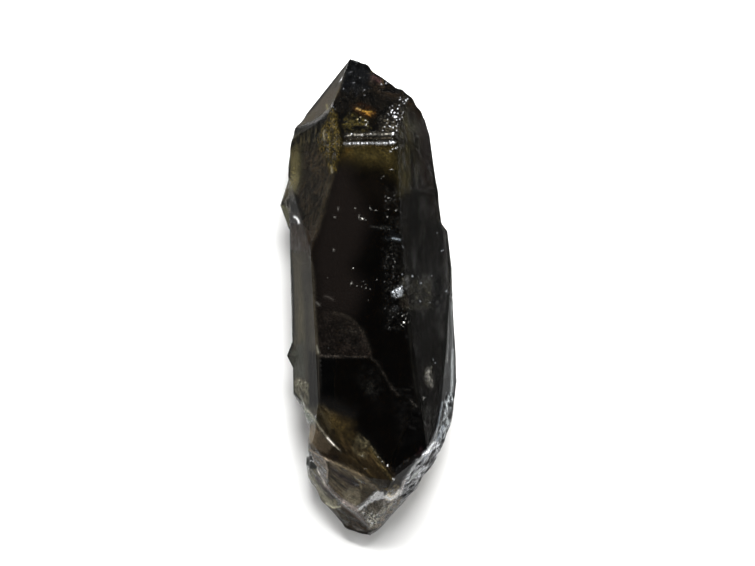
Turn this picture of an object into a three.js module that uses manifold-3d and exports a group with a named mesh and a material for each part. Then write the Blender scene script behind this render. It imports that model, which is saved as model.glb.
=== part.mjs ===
// Morion: one black smoky quartz crystal, lying on its side.
// Millimetres. X runs across the crystal, Y along it with the pointed end at +Y, Z up.
// The stone is a six-sided prism with a point at one end and a break at the other.
// Every flat face is a plane drawn through three of its points, and the stone is what
// lies behind all of those planes, less its growth ledges, flakes and fracture scoops.

import * as THREE from 'three';
import { ConvexGeometry } from 'three/addons/geometries/ConvexGeometry.js';
import { mergeVertices } from 'three/addons/utils/BufferGeometryUtils.js';
import Module from 'manifold-3d';

// Driving dimensions
const THICKNESS = 17.0;
const POINT_Y = 32.5;
const POINT_HEIGHT = 7.7;
const BREAK_END_Y = -32.6;
const LEDGE_DROP = 0.26;
const LEDGE_SPACING = 1.1;
const LEDGE_HEAD_Y = 20.9;
const LEDGE_SLOPE = THREE.MathUtils.degToRad(62);

// Faces of the prism
const PRISM = {
  front: [[-7.0, 7.0, 16.5], [4.0, 21.0, THICKNESS], [6.0, -13.0, 17.5]],
  upperLeft: [[-3.8, 20.6, 16.5], [-7.7, 6.9, 16.46], [-10.8, 20.0, 8.5]],
  lowerLeft: [[-7.8, 6.4, 16.47], [-6.7, -14.7, 16.76], [-10.3, -8.0, 8.0]],
  underLeft: [[-10.6, 6.4, 8.8], [-10.35, -10.0, 7.9], [-4.0, 0.0, 0.0]],
  bed: [[0.0, 0.0, 0.0], [5.0, 0.0, 0.0], [0.0, 5.0, 0.0]],
};

// The right side, which steps outward below a small shoulder
const RIGHT_ABOVE_SHOULDER = {
  right: [[4.0, 20.9, THICKNESS], [4.9, -3.2, 17.33], [8.9, 18.4, 11.3]],
  underRight: [[8.9, 18.4, 11.3], [9.95, 10.7, 10.5], [5.3, 12.0, 0.0]],
};
const RIGHT_BELOW_SHOULDER = {
  right: [[4.65, 5.0, 17.25], [7.8, -19.6, 17.7], [12.0, -10.7, 11.0]],
  underRight: [[10.9, 8.8, 9.0], [12.05, -10.7, 7.0], [8.0, 0.0, 0.0]],
  shoulder: [[9.9, 10.3, 10.6], [10.9, 8.9, 9.0], [9.9, 9.4, 2.0]],
};

// Faces of the point, which meet at the tip
const TIP = [-2.5, POINT_Y, POINT_HEIGHT];
const POINT = {
  front: [TIP, [-3.8, 22.2, 15.9], [4.0, 22.2, 16.5]],
  left: [TIP, [-4.7, 26.3, 12.6], [-9.6, 23.6, 6.5]],
  right: [[4.0, 20.9, THICKNESS], [4.7, 28.3, 11.6], [8.5, 23.1, 10.9]],
  underLeft: [TIP, [-9.6, 23.6, 6.5], [-5.0, 22.0, 0.0]],
  underRight: [[-2.2, POINT_Y, 7.9], [4.7, 28.3, 11.6], [8.5, 23.1, 10.9]],
  back: [TIP, [-6.0, 22.7, 0.0], [4.0, 22.7, 0.0]],
};

// Faces of the broken end
const BREAK = {
  brown: [[-6.7, -14.7, 16.7], [4.4, -25.1, 17.5], [-8.1, -21.1, 12.6]],
  grey: [[-8.1, -21.1, 12.6], [2.3, -26.2, 15.6], [-3.8, -30.6, 4.0]],
  leftFlake: [[-5.9, -22.4, 12.9], [-5.5, -25.8, 8.6], [-8.1, -25.1, 5.1]],
  lobe: [[-3.1, -28.5, 7.4], [0.8, -32.2, 4.6], [-3.0, -31.8, 2.6]],
  lobeSide: [[-5.1, -28.9, 3.6], [-3.2, -31.5, 3.0], [-4.1, -28.6, 8.4]],
  leftSide: [[-10.3, -13.4, 8.0], [-8.0, -23.5, 8.0], [-9.0, -16.0, 13.0]],
  rimUpper: [[11.0, -2.0, 10.7], [9.9, -16.2, 14.5], [11.95, -11.0, 6.8]],
  rimMiddle: [[9.9, -16.6, 14.4], [7.8, -21.3, 17.7], [11.2, -17.0, 7.8]],
  rimLower: [[7.8, -21.3, 17.7], [4.5, -25.8, 17.5], [6.1, -26.4, 7.4]],
  rimEnd: [[2.3, -26.2, 15.6], [4.4, -28.4, 6.6], [0.9, -32.1, 4.0]],
  underRim: [[10.1, -21.3, 9.4], [1.6, -32.2, 3.6], [3.7, -22.0, 0.0]],
  heel: [[-8.0, -24.4, 0.0], [8.0, -24.4, 0.0], [0.0, BREAK_END_Y, 3.2]],
};

// Corners of the small crystal that stands out of the left edge
const SIDE_CRYSTAL = [
  [-12.0, 12.5, 7.8],
  [-10.7, 16.6, 7.6],
  [-9.3, 13.6, 11.6],
  [-9.5, 10.6, 10.9],
  [-10.8, 9.2, 7.9],
  [-9.5, 10.5, 4.6],
  [-9.5, 14.5, 4.6],
  [-7.0, 12.5, 8.0],
];

// Corners of the lower bump on the same edge
const SIDE_BUMP = [
  [-11.1, -8.1, 7.6],
  [-10.2, -5.8, 8.2],
  [-9.3, -8.0, 10.6],
  [-10.0, -10.3, 8.0],
  [-9.2, -8.0, 5.4],
  [-7.0, -8.0, 8.0],
];

// Corners of what has flaked off the left edge above the break
const LEFT_NOTCH = [
  [-10.4, -13.1, 3.0],
  [-10.4, -13.1, 13.0],
  [-8.7, -15.6, 3.5],
  [-8.7, -15.6, 12.5],
  [-8.1, -21.8, 4.5],
  [-8.1, -21.8, 12.0],
  [-14.0, -13.1, 8.0],
  [-14.0, -24.0, 8.0],
];

// Shell-shaped fracture scoops: where each is, the way it faces, its width and depth
const SCOOPS = [
  { at: [-6.6, -24.2, 17.25], facing: [0.0, 0.0, 1.0], width: 18.0, depth: 2.3 },
  { at: [1.2, -28.7, 10.3], facing: [-0.38, -0.77, 0.51], width: 3.8, depth: 0.55 },
  { at: [5.3, -22.5, 2.8], facing: [0.79, -0.34, -0.51], width: 5.0, depth: 0.4 },
  { at: [-7.3, -9.0, 4.0], facing: [-0.78, 0.02, -0.62], width: 6.0, depth: 0.35 },
];
const SCOOP_SIDES = 72;
const SCOOP_RINGS = 48;

// A point well inside the stone, which every face has behind it
const HEART = new THREE.Vector3(0, 0, THICKNESS / 2);

// Distances that lie far outside the stone, unequal so that no two walls coincide
const FAR_WALLS = 60;
const FARTHER_WALLS = 70;

// Lengths too small to matter
const ON_PLANE = 1e-6;
const SAME_POINT = 1e-4;

const wasm = await Module();
wasm.setup();

/** The plane through three points, facing away from the heart of the stone. */
function facePlane(points) {
  const [a, b, c] = points.map((point) => new THREE.Vector3(...point));
  const plane = new THREE.Plane().setFromCoplanarPoints(a, b, c);
  if (plane.distanceToPoint(HEART) > 0) {
    plane.negate();
  }
  return plane;
}

/** The planes of a group of faces. */
function planesOf(faces) {
  return Object.values(faces).map(facePlane);
}

/** The point where three planes meet, or null where two of them are parallel. */
function meetingPoint(p, q, r) {
  const qr = new THREE.Vector3().crossVectors(q.normal, r.normal);
  const rp = new THREE.Vector3().crossVectors(r.normal, p.normal);
  const pq = new THREE.Vector3().crossVectors(p.normal, q.normal);
  const scale = p.normal.dot(qr);
  if (Math.abs(scale) < ON_PLANE) {
    return null;
  }
  return qr.multiplyScalar(-p.constant)
    .addScaledVector(rp, -q.constant)
    .addScaledVector(pq, -r.constant)
    .divideScalar(scale);
}

/** Every corner of the body that lies behind all of the planes. */
function cornersBehind(planes) {
  const corners = [];
  for (let i = 0; i < planes.length; i += 1) {
    for (let j = i + 1; j < planes.length; j += 1) {
      for (let k = j + 1; k < planes.length; k += 1) {
        const corner = meetingPoint(planes[i], planes[j], planes[k]);
        const isNew = corner
          && planes.every((plane) => plane.distanceToPoint(corner) < ON_PLANE)
          && corners.every((other) => other.distanceTo(corner) > SAME_POINT);
        if (isNew) {
          corners.push(corner);
        }
      }
    }
  }
  return corners;
}

/** A closed geometry as a solid that can be joined and cut. */
function solidOf(geometry) {
  const bare = geometry.clone();
  bare.deleteAttribute('normal');
  bare.deleteAttribute('uv');
  const merged = mergeVertices(bare, SAME_POINT);
  return new wasm.Manifold(new wasm.Mesh({
    numProp: 3,
    vertProperties: new Float32Array(merged.attributes.position.array),
    triVerts: new Uint32Array(merged.index.array),
  }));
}

/** Everything behind some planes, closed by walls far outside the stone. */
function regionBehind(planes, reach) {
  const walls = [[1, 0, 0], [-1, 0, 0], [0, 1, 0], [0, -1, 0], [0, 0, 1], [0, 0, -1]]
    .map((direction) => new THREE.Plane(new THREE.Vector3(...direction), -reach));
  return solidOf(new ConvexGeometry(cornersBehind([...planes, ...walls])));
}

/** The convex body around a few corners. */
function bodyAround(corners) {
  return solidOf(new ConvexGeometry(corners.map((corner) => new THREE.Vector3(...corner))));
}

/** What a growth ledge leaves out of the front face, from its riser to the point. */
function ledgeCut(depth, y) {
  const tread = facePlane(PRISM.front);
  tread.translate(tread.normal.clone().multiplyScalar(-depth)).negate();
  const riser = new THREE.Plane().setFromNormalAndCoplanarPoint(
    new THREE.Vector3(0, -Math.sin(LEDGE_SLOPE), -Math.cos(LEDGE_SLOPE)),
    new THREE.Vector3(0, y, THICKNESS),
  );
  return regionBehind([tread, riser], FAR_WALLS);
}

/** The ball that leaves a round scoop of a given width and depth in a surface. */
function scoopCut({ at, facing, width, depth }) {
  const radius = (width * width / 4 + depth * depth) / (2 * depth);
  const centre = new THREE.Vector3(...at)
    .addScaledVector(new THREE.Vector3(...facing).normalize(), radius - depth);
  const ball = new THREE.SphereGeometry(radius, SCOOP_SIDES, SCOOP_RINGS);
  ball.translate(centre.x, centre.y, centre.z);
  return solidOf(ball);
}

/** The whole crystal as one solid. */
function crystalSolid() {
  const rightSide = regionBehind(planesOf(RIGHT_ABOVE_SHOULDER), FARTHER_WALLS)
    .add(regionBehind(planesOf(RIGHT_BELOW_SHOULDER), FAR_WALLS));
  const grown = regionBehind([PRISM, POINT, BREAK].flatMap(planesOf), FARTHER_WALLS)
    .intersect(rightSide)
    .subtract(ledgeCut(LEDGE_DROP, LEDGE_HEAD_Y))
    .subtract(ledgeCut(2 * LEDGE_DROP, LEDGE_HEAD_Y + LEDGE_SPACING))
    .add(bodyAround(SIDE_CRYSTAL))
    .add(bodyAround(SIDE_BUMP))
    .subtract(bodyAround(LEFT_NOTCH));
  return SCOOPS.map(scoopCut).reduce((stone, cut) => stone.subtract(cut), grown);
}

/** The solid as a mesh, moved so that the middle of its underside is the origin. */
function restingMesh(solid, name, material) {
  const { vertProperties, triVerts } = solid.getMesh();
  const geometry = new THREE.BufferGeometry();
  geometry.setAttribute('position', new THREE.BufferAttribute(vertProperties, 3));
  geometry.setIndex(new THREE.BufferAttribute(triVerts, 1));
  geometry.computeBoundingBox();
  const { min, max } = geometry.boundingBox;
  geometry.translate(-(min.x + max.x) / 2, -(min.y + max.y) / 2, -min.z);
  const mesh = new THREE.Mesh(geometry, material);
  mesh.name = name;
  return mesh;
}

const smokyQuartz = new THREE.MeshStandardMaterial({
  color: 0x1a140e,
  roughness: 0.08,
  metalness: 0.0,
});

const crystal = new THREE.Group();
crystal.add(restingMesh(crystalSolid(), 'quartz_crystal', smokyQuartz));

export default crystal;
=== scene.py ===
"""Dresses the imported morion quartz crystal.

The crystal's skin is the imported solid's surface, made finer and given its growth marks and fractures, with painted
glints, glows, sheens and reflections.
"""

import logging  # noqa: E402
import math  # noqa: E402
from dataclasses import dataclass, field  # noqa: E402
from enum import Enum  # noqa: E402
from typing import Protocol, Sequence  # noqa: E402

import bmesh  # noqa: E402
import bpy  # noqa: E402
import numpy as np  # noqa: E402
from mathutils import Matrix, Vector  # noqa: E402


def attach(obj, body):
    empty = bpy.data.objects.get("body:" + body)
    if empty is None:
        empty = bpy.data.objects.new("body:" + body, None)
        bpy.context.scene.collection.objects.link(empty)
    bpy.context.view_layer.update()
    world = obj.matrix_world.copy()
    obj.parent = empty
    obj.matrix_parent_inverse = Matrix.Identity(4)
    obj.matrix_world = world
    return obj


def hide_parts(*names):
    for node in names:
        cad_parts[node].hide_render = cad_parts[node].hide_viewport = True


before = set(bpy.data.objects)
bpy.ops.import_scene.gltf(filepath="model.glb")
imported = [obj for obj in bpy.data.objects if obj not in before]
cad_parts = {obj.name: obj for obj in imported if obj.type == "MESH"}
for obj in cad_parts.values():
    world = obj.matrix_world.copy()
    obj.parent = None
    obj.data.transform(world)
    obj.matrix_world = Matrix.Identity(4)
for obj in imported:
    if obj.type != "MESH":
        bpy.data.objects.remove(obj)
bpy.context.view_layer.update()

LOG = logging.getLogger("crystal")
MM = 0.001  # metres
NONE = 9.0  # an edge length or a distance so great that it sets nothing
FADE = 0.55  # strength of each octave against the one before
SHIFT = 17.3  # moves each octave's lattice
TRIES = 40  # places tried for each scattered speck
NODE = "quartz_crystal"

Pixel = tuple[float, float]
Path = Sequence[Pixel]
Speck = tuple[float, float, float, float]


# Colours


def linear(hex_colour: str) -> np.ndarray:
    """Turns an sRGB hex colour into linear light.

    Args:
        hex_colour: Six hex digits after a hash sign.

    Returns:
        Three linear values from 0 to 1.
    """
    coded = np.array([int(hex_colour[i : i + 2], 16) for i in (1, 3, 5)]) / 255
    return np.where(coded <= 0.04045, coded / 12.92, ((coded + 0.055) / 1.055) ** 2.4)


def rgba(hex_colour: str) -> tuple[float, float, float, float]:
    """The linear colour with full alpha, as a socket takes it."""
    return (*(float(v) for v in linear(hex_colour)), 1.0)


# Noise and plane figures, worked out on whole arrays


def smooth(values: np.ndarray) -> np.ndarray:
    """The smooth step 3t^2 - 2t^3 of values held to 0..1."""
    t = np.clip(values, 0.0, 1.0)
    return t * t * (3 - 2 * t)


def hashed(cells: np.ndarray, seed: int) -> np.ndarray:
    """Gives every integer cell a fixed number from 0 to 1.

    Args:
        cells: Integer cell places, three in a row.
        seed: Chooses another set of numbers.

    Returns:
        One number for each row.
    """
    mask = 0xFFFFFFFF
    c = cells.astype(np.int64)
    h = (c[..., 0] * 0x0DA6B343) ^ (c[..., 1] * 0x18163841) ^ (c[..., 2] * 0x0B1AB31F)
    h = (h ^ (seed * 0x1E3779B1)) & mask
    h ^= h >> 15
    h = (h * 0x2C1B3C6D) & mask
    h ^= h >> 12
    h = (h * 0x297A2D39) & mask
    h ^= h >> 15
    return h / 2.0**32


def noise(points: np.ndarray, grain: float | Sequence[float], seed: int, octaves: int = 3) -> np.ndarray:
    """Value noise: smooth blends of random lattice values, halved in size and strength for each octave.

    Args:
        points: Places in millimetres, three in a row.
        grain: Size of the largest lumps in millimetres, one number or one for each axis.
        seed: Chooses another pattern.
        octaves: How many sizes are added.

    Returns:
        Values from about -1 to 1.
    """
    total = np.zeros(len(points))
    weight, weights = 1.0, 0.0
    scaled = points / np.asarray(grain, float)
    for octave in range(octaves):
        p = scaled * 2**octave + SHIFT * (octave + 1)
        low = np.floor(p)
        t = smooth(p - low)
        low = low.astype(np.int64)
        value = np.zeros(len(points))
        for corner in map(np.array, np.ndindex(2, 2, 2)):
            share = np.where(corner, t, 1 - t).prod(axis=1)
            value += share * hashed(low + corner, seed + octave)
        total += weight * (2 * value - 1)
        weights += weight
        weight *= FADE
    return total / weights


def cells(points: np.ndarray, grain: float | Sequence[float], seed: int) -> tuple[np.ndarray, np.ndarray]:
    """Cell noise: the distance to the nearest of scattered seeds, one seed in each cube of the lattice.

    Args:
        points: Places in millimetres, three in a row.
        grain: Size of a cell in millimetres.
        seed: Chooses another pattern.

    Returns:
        The nearest distance, in cells, and a random number for the nearest seed.
    """
    p = points / np.asarray(grain, float)
    low = np.floor(p).astype(np.int64)
    nearest = np.full(len(p), NONE)
    mark = np.zeros(len(p))
    for step in np.ndindex(3, 3, 3):
        cell = low + np.array(step) - 1
        spot = cell + np.stack([hashed(cell, seed + k) for k in range(3)], axis=1)
        far = np.linalg.norm(p - spot, axis=1)
        mark = np.where(far < nearest, hashed(cell, seed + 5), mark)
        nearest = np.minimum(nearest, far)
    return nearest, mark


def along(px: np.ndarray, path: Path) -> tuple[np.ndarray, np.ndarray]:
    """Places points against a chain of straight pieces.

    Args:
        px: Points of the picture, two in a row.
        path: The chain's corners.

    Returns:
        Each point's distance to the chain, and how far along the chain its nearest place is.
    """
    best = np.full(len(px), 1e9)
    run = np.zeros(len(px))
    start = 0.0
    for a, b in zip(path[:-1], path[1:]):
        a, b = np.asarray(a, float), np.asarray(b, float)
        d = b - a
        length = float(np.hypot(*d))
        t = np.clip((px - a) @ d / length**2, 0, 1)
        off = px - (a + t[:, None] * d)
        far = np.hypot(off[:, 0], off[:, 1])
        nearer = far < best
        best = np.where(nearer, far, best)
        run = np.where(nearer, start + t * length, run)
        start += length
    return best, run


def inside(px: np.ndarray, outline: Path) -> np.ndarray:
    """How far each point is inside an outline, below 0 outside it, by counting crossings of a level ray.

    Args:
        px: Points of the picture, two in a row.
        outline: The outline's corners.

    Returns:
        Distances to the outline in pixels, below 0 outside it.
    """
    ring = [*outline, outline[0]]
    far = along(px, ring)[0]
    within = np.zeros(len(px), bool)
    for (x0, y0), (x1, y1) in zip(ring[:-1], ring[1:]):
        if y0 == y1:
            continue
        crosses = (px[:, 1] < y0) != (px[:, 1] < y1)
        at = x0 + (px[:, 1] - y0) / (y1 - y0) * (x1 - x0)
        within ^= crosses & (px[:, 0] < at)
    return np.where(within, far, -far)


def boxed(px: np.ndarray, path: Path, margin: float) -> np.ndarray:
    """Which points lie in a path's box, made wider by a margin on each side."""
    return np.all((px > np.min(path, axis=0) - margin) & (px < np.max(path, axis=0) + margin), axis=1)


def core(size: float) -> float:
    """How far from its middle a stroke or speck of some width or radius needs fine edges, in pixels."""
    return 1.2 * size + 0.5


# The photograph's view


@dataclass(frozen=True)
class PhotoView:
    """The camera, straight above the crystal, and where it shows each place.

    Lengths are in millimetres, the clipping distances in metres.
    """

    width_px: int = 755
    height_px: int = 566
    mm_per_px: float = 0.13684
    distance: float = 1000.0
    plane_height: float = 9.5
    centre: tuple[float, float] = (1.24, 2.03)
    sensor: float = 36.0
    clip: tuple[float, float] = (0.01, 10.0)

    def pixels(self, points: np.ndarray) -> np.ndarray:
        """Where the camera shows places.

        Args:
            points: Places in millimetres, three in a row.

        Returns:
            Picture places in pixels, two in a row, from the top left corner.
        """
        nearer = self.distance / (self.distance - (points[:, 2] - self.plane_height))
        across = (points[:, 0] - self.centre[0]) * nearer / self.mm_per_px
        up = (points[:, 1] - self.centre[1]) * nearer / self.mm_per_px
        return np.stack([self.width_px / 2 + across, self.height_px / 2 - up], axis=1)

    def build(self) -> bpy.types.Object:
        """Makes the camera.

        Returns:
            The camera's object.
        """
        data = bpy.data.cameras.new("camera")
        data.sensor_width = self.sensor
        data.lens = self.sensor * self.distance / (self.width_px * self.mm_per_px)
        data.clip_start, data.clip_end = self.clip
        camera = bpy.data.objects.new("camera", data)
        camera.location = (self.centre[0] * MM, self.centre[1] * MM, (self.distance + self.plane_height) * MM)
        bpy.context.scene.collection.objects.link(camera)
        bpy.context.scene.camera = camera
        return camera


# The skin


class Skin:
    """The crystal's surface as arrays: places, triangles, and what the marks add at each place.

    Lengths are in millimetres.
    """

    KEY = 1 << 31  # makes one number of an edge's two places
    SAME = 0.002  # places of the CAD node nearer than this are one
    LEVEL = math.radians(1.2)  # faces of the CAD node that meet under this angle are one
    PLANE = 0.99995  # least cosine between the normals of level triangles
    GAIN = 1e-5  # least excess angle for which an edge is turned
    TIE = 1e-13  # parts edges that are equally bad
    HEIGHT_SHARE = 0.6  # how fast patterns change upwards, against across
    UP_FADE = 0.12  # upward part of the normal over which marks fade out
    BARE_TONE = 0.1  # colour where no mark lies
    BARE_GRAIN = 0.25  # grain where no mark lies
    OWN_GRAIN = 0.25  # weight above which a layer brings its own grain

    def __init__(self, node: bpy.types.Object, view: PhotoView) -> None:
        """Copies a CAD node's loose triangles, merges their doubles and joins those that lie in one plane.

        Args:
            node: The CAD node, which stays as it is.
            view: Gives each place its pixel.
        """
        work = bmesh.new()
        work.from_mesh(node.data)
        bmesh.ops.remove_doubles(work, verts=work.verts, dist=self.SAME * MM)
        bmesh.ops.dissolve_limit(work, angle_limit=self.LEVEL, verts=work.verts, edges=work.edges)
        bmesh.ops.triangulate(work, faces=work.faces, quad_method="BEAUTY", ngon_method="BEAUTY")
        work.verts.ensure_lookup_table()
        self.view = view
        self.points = np.array([v.co[:] for v in work.verts]) / MM
        self.faces = np.array([[v.index for v in f.verts] for f in work.faces], np.int64)
        work.free()

    def face_normals(self) -> tuple[np.ndarray, np.ndarray]:
        """Each triangle's unit normal and area.

        Returns:
            Unit normals, three in a row, and areas in square millimetres.
        """
        a, b, c = (self.points[self.faces[:, k]] for k in range(3))
        n = np.cross(b - a, c - a)
        length = np.linalg.norm(n, axis=1)
        return n / np.maximum(length, 1e-12)[:, None], length / 2

    def normals(self) -> np.ndarray:
        """Each place's unit normal, the mean of its triangles' weighted by area.

        Returns:
            Unit normals, three in a row.
        """
        n, area = self.face_normals()
        total = np.zeros_like(self.points)
        for k in range(3):
            np.add.at(total, self.faces[:, k], n * area[:, None])
        return total / np.maximum(np.linalg.norm(total, axis=1), 1e-12)[:, None]

    def split(self, spacing: "Spacing", rounds: int = 12) -> None:
        """Halves every edge that is longer than wanted at its middle, until none is, so that no gap opens.

        A triangle with one, two or three cut edges becomes two, three or four.

        Args:
            spacing: Gives the longest edge at each place.
            rounds: The most times that edges are halved.
        """
        settled = np.zeros(0, np.int64)
        for _ in range(rounds):
            t = self.faces
            edges = np.sort(np.vstack([t[:, [0, 1]], t[:, [1, 2]], t[:, [2, 0]]]), axis=1)
            keys, which = np.unique(edges[:, 0] * self.KEY + edges[:, 1], return_inverse=True)
            which = which.reshape(-1)
            rise = np.full(len(keys), -1.0)
            np.maximum.at(rise, which, np.tile(self.face_normals()[0][:, 2], 3))
            todo = np.flatnonzero(~np.isin(keys, settled, assume_unique=True))
            a, b = self.points[keys[todo] // self.KEY], self.points[keys[todo] % self.KEY]
            middle = (a + b) / 2
            long = np.linalg.norm(a - b, axis=1) > spacing.wanted(middle, rise[todo])
            if not long.any():
                break
            settled = np.union1d(settled, keys[todo[~long]])
            index = np.full(len(keys), -1)
            index[todo[long]] = len(self.points) + np.arange(int(long.sum()))
            self.points = np.vstack([self.points, middle[long]])
            self.faces = self._cut(index[which].reshape(3, -1).T)
            self._even(6)
        self._even(12)

    def _even(self, passes: int) -> None:
        """Turns edges between level triangles until opposite angles add up to no more than a half turn.

        Each pass turns only edges that share no triangle, the worst ones first.

        Args:
            passes: The most times that edges are turned.
        """
        for _ in range(passes):
            t = self.faces
            ends = np.vstack([t[:, [0, 1]], t[:, [1, 2]], t[:, [2, 0]]])
            tips = np.concatenate([t[:, 2], t[:, 0], t[:, 1]])
            order = np.argsort(ends.min(1) * self.KEY + ends.max(1), kind="stable")
            one, two = order[0::2], order[1::2]
            f, g = one % len(t), two % len(t)
            a, b, c, d = ends[one, 0], ends[one, 1], tips[one], tips[two]
            n = self.face_normals()[0]
            excess = self._corner(c, a, b) + self._corner(d, a, b) - math.pi
            excess = np.where(np.einsum("ij,ij->i", n[f], n[g]) > self.PLANE, excess, -1.0)
            excess += np.arange(len(excess)) * self.TIE
            worst = np.full(len(t), self.GAIN)
            np.maximum.at(worst, f, excess)
            np.maximum.at(worst, g, excess)
            k = (excess >= worst[f]) & (excess >= worst[g])
            if not k.any():
                break
            t = t.copy()
            t[f[k]] = np.c_[a[k], d[k], c[k]]
            t[g[k]] = np.c_[d[k], b[k], c[k]]
            self.faces = t

    def _corner(self, tip: np.ndarray, a: np.ndarray, b: np.ndarray) -> np.ndarray:
        """The angle at each tip between the ways to a and to b."""
        u, v = self.points[a] - self.points[tip], self.points[b] - self.points[tip]
        return np.arctan2(np.linalg.norm(np.cross(u, v), axis=1), np.einsum("ij,ij->i", u, v))

    def _cut(self, middles: np.ndarray) -> np.ndarray:
        """The triangles after their edges are halved.

        Args:
            middles: For each triangle, the new places on its edges 0-1, 1-2 and 2-0, or -1.

        Returns:
            All triangles, three places in a row.
        """
        t = self.faces
        count = (middles >= 0).sum(1)
        out = [t[count == 0]]
        k = count == 3
        c, m = t[k], middles[k]
        out += [*(np.c_[c[:, i], m[:, i], m[:, i - 1]] for i in range(3)), m]
        for i in range(3):
            k = (count == 1) & (middles[:, i] >= 0)
            c, m = np.roll(t[k], -i, axis=1), np.roll(middles[k], -i, axis=1)
            out += [np.c_[c[:, 0], m[:, 0], c[:, 2]], np.c_[m[:, 0], c[:, 1], c[:, 2]]]
            k = (count == 2) & (middles[:, i] < 0)
            c, m = np.roll(t[k], -i, axis=1), np.roll(middles[k], -i, axis=1)
            one = np.linalg.norm(self.points[c[:, 0]] - self.points[m[:, 1]], axis=1)
            other = np.linalg.norm(self.points[c[:, 1]] - self.points[m[:, 2]], axis=1)
            s, r = one <= other, one > other
            out += [np.c_[c[:, 2], m[:, 2], m[:, 1]]]
            out += [np.c_[c[s, 0], c[s, 1], m[s, 1]], np.c_[c[s, 0], m[s, 1], m[s, 2]]]
            out += [np.c_[c[r, 0], c[r, 1], m[r, 2]], np.c_[c[r, 1], m[r, 1], m[r, 2]]]
        return np.vstack([o.reshape(-1, 3) for o in out]).astype(np.int64)

    def open_fields(self) -> None:
        """Starts the fields that marks add to, with each place's pixel and how far it faces up.

        The fields are lift, cover, colour, satin (the least roughness), broken (how far fine grain breaks the cover
        up) and weave (the coordinates along which that grain runs, in grains).
        """
        n = self.normals()
        count = len(self.points)
        self.out = n
        self.px = self.view.pixels(self.points)
        self.flat = np.c_[self.px * self.view.mm_per_px, self.HEIGHT_SHARE * self.points[:, 2]]
        self.up = smooth(n[:, 2] / self.UP_FADE)
        self.lift = np.zeros(count)
        self.cover = np.zeros(count)
        self.colour = np.full((count, 3), self.BARE_TONE)
        self.satin = np.zeros(count)
        self.broken = np.zeros(count)
        self.weave = self.flat / self.BARE_GRAIN

    def within(self, outline: Path, margin: float) -> np.ndarray:
        """The places that face up in an outline's box.

        Args:
            outline: Points of the picture.
            margin: Pixels added round the box.

        Returns:
            The places' numbers.
        """
        return np.flatnonzero(boxed(self.px, outline, margin) & (self.up > 0))

    def lay(
        self, where: np.ndarray, weight: np.ndarray, hex_colour: str, broken: float, weave: np.ndarray | None = None,
    ) -> None:
        """Lays a layer over what is there, as paint over paint.

        Args:
            where: The places' numbers.
            weight: How much it covers at each of them, 0 to 1.
            hex_colour: The layer's sRGB colour.
            broken: How far fine grain breaks it up, 0 to 1.
            weave: The grain's coordinates at each place, three in a row; without it the grain stays as it is.
        """
        weight = np.clip(weight, 0, 1)
        total = weight + self.cover[where] * (1 - weight)
        share = weight / np.maximum(total, 1e-9)
        self.colour[where] += (linear(hex_colour) - self.colour[where]) * share[:, None]
        self.broken[where] += (broken - self.broken[where]) * share
        self.cover[where] = total
        if weave is not None:
            mine = weight > self.OWN_GRAIN
            self.weave[where[mine]] = weave[mine]

    def press(self) -> None:
        """Moves each place along its normal by its lift."""
        self.points = self.points + self.out * self.lift[:, None]


class Mark(Protocol):
    """A feature of the skin, placed by the pixels at which the photograph shows it."""

    def near(self, px: np.ndarray) -> np.ndarray:
        """The edge length in millimetres that the mark needs at each point."""

    def make(self, skin: Skin) -> None:
        """Adds the mark to the skin's fields."""


@dataclass(frozen=True)
class Spacing:
    """The longest edge wanted at each place: fine where the camera looks and round marks, coarse below.

    On steep ground the camera sees lengths shortened, so that edges may be longer there.
    """

    view: PhotoView
    marks: Sequence[Mark]
    seen: float = 0.7
    hidden: float = 1.1
    least_rise: float = 0.02
    steep_rise: float = 0.55
    most_stretch: float = 1.45

    def wanted(self, middle: np.ndarray, rise: np.ndarray) -> np.ndarray:
        """The longest edge at each place.

        Args:
            middle: Places in millimetres, three in a row.
            rise: The upward part of the normal there, above 0 where the camera sees it.

        Returns:
            Edge lengths in millimetres.
        """
        size = np.full(len(middle), self.hidden)
        shown = np.flatnonzero(rise > self.least_rise)
        px = self.view.pixels(middle[shown])
        fine = np.full(len(shown), self.seen)
        for mark in self.marks:
            fine = np.minimum(fine, mark.near(px))
        longer = np.clip(self.steep_rise / rise[shown], 1, self.most_stretch)
        size[shown] = np.minimum(fine * longer, np.maximum(fine, self.seen))
        return size


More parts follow.
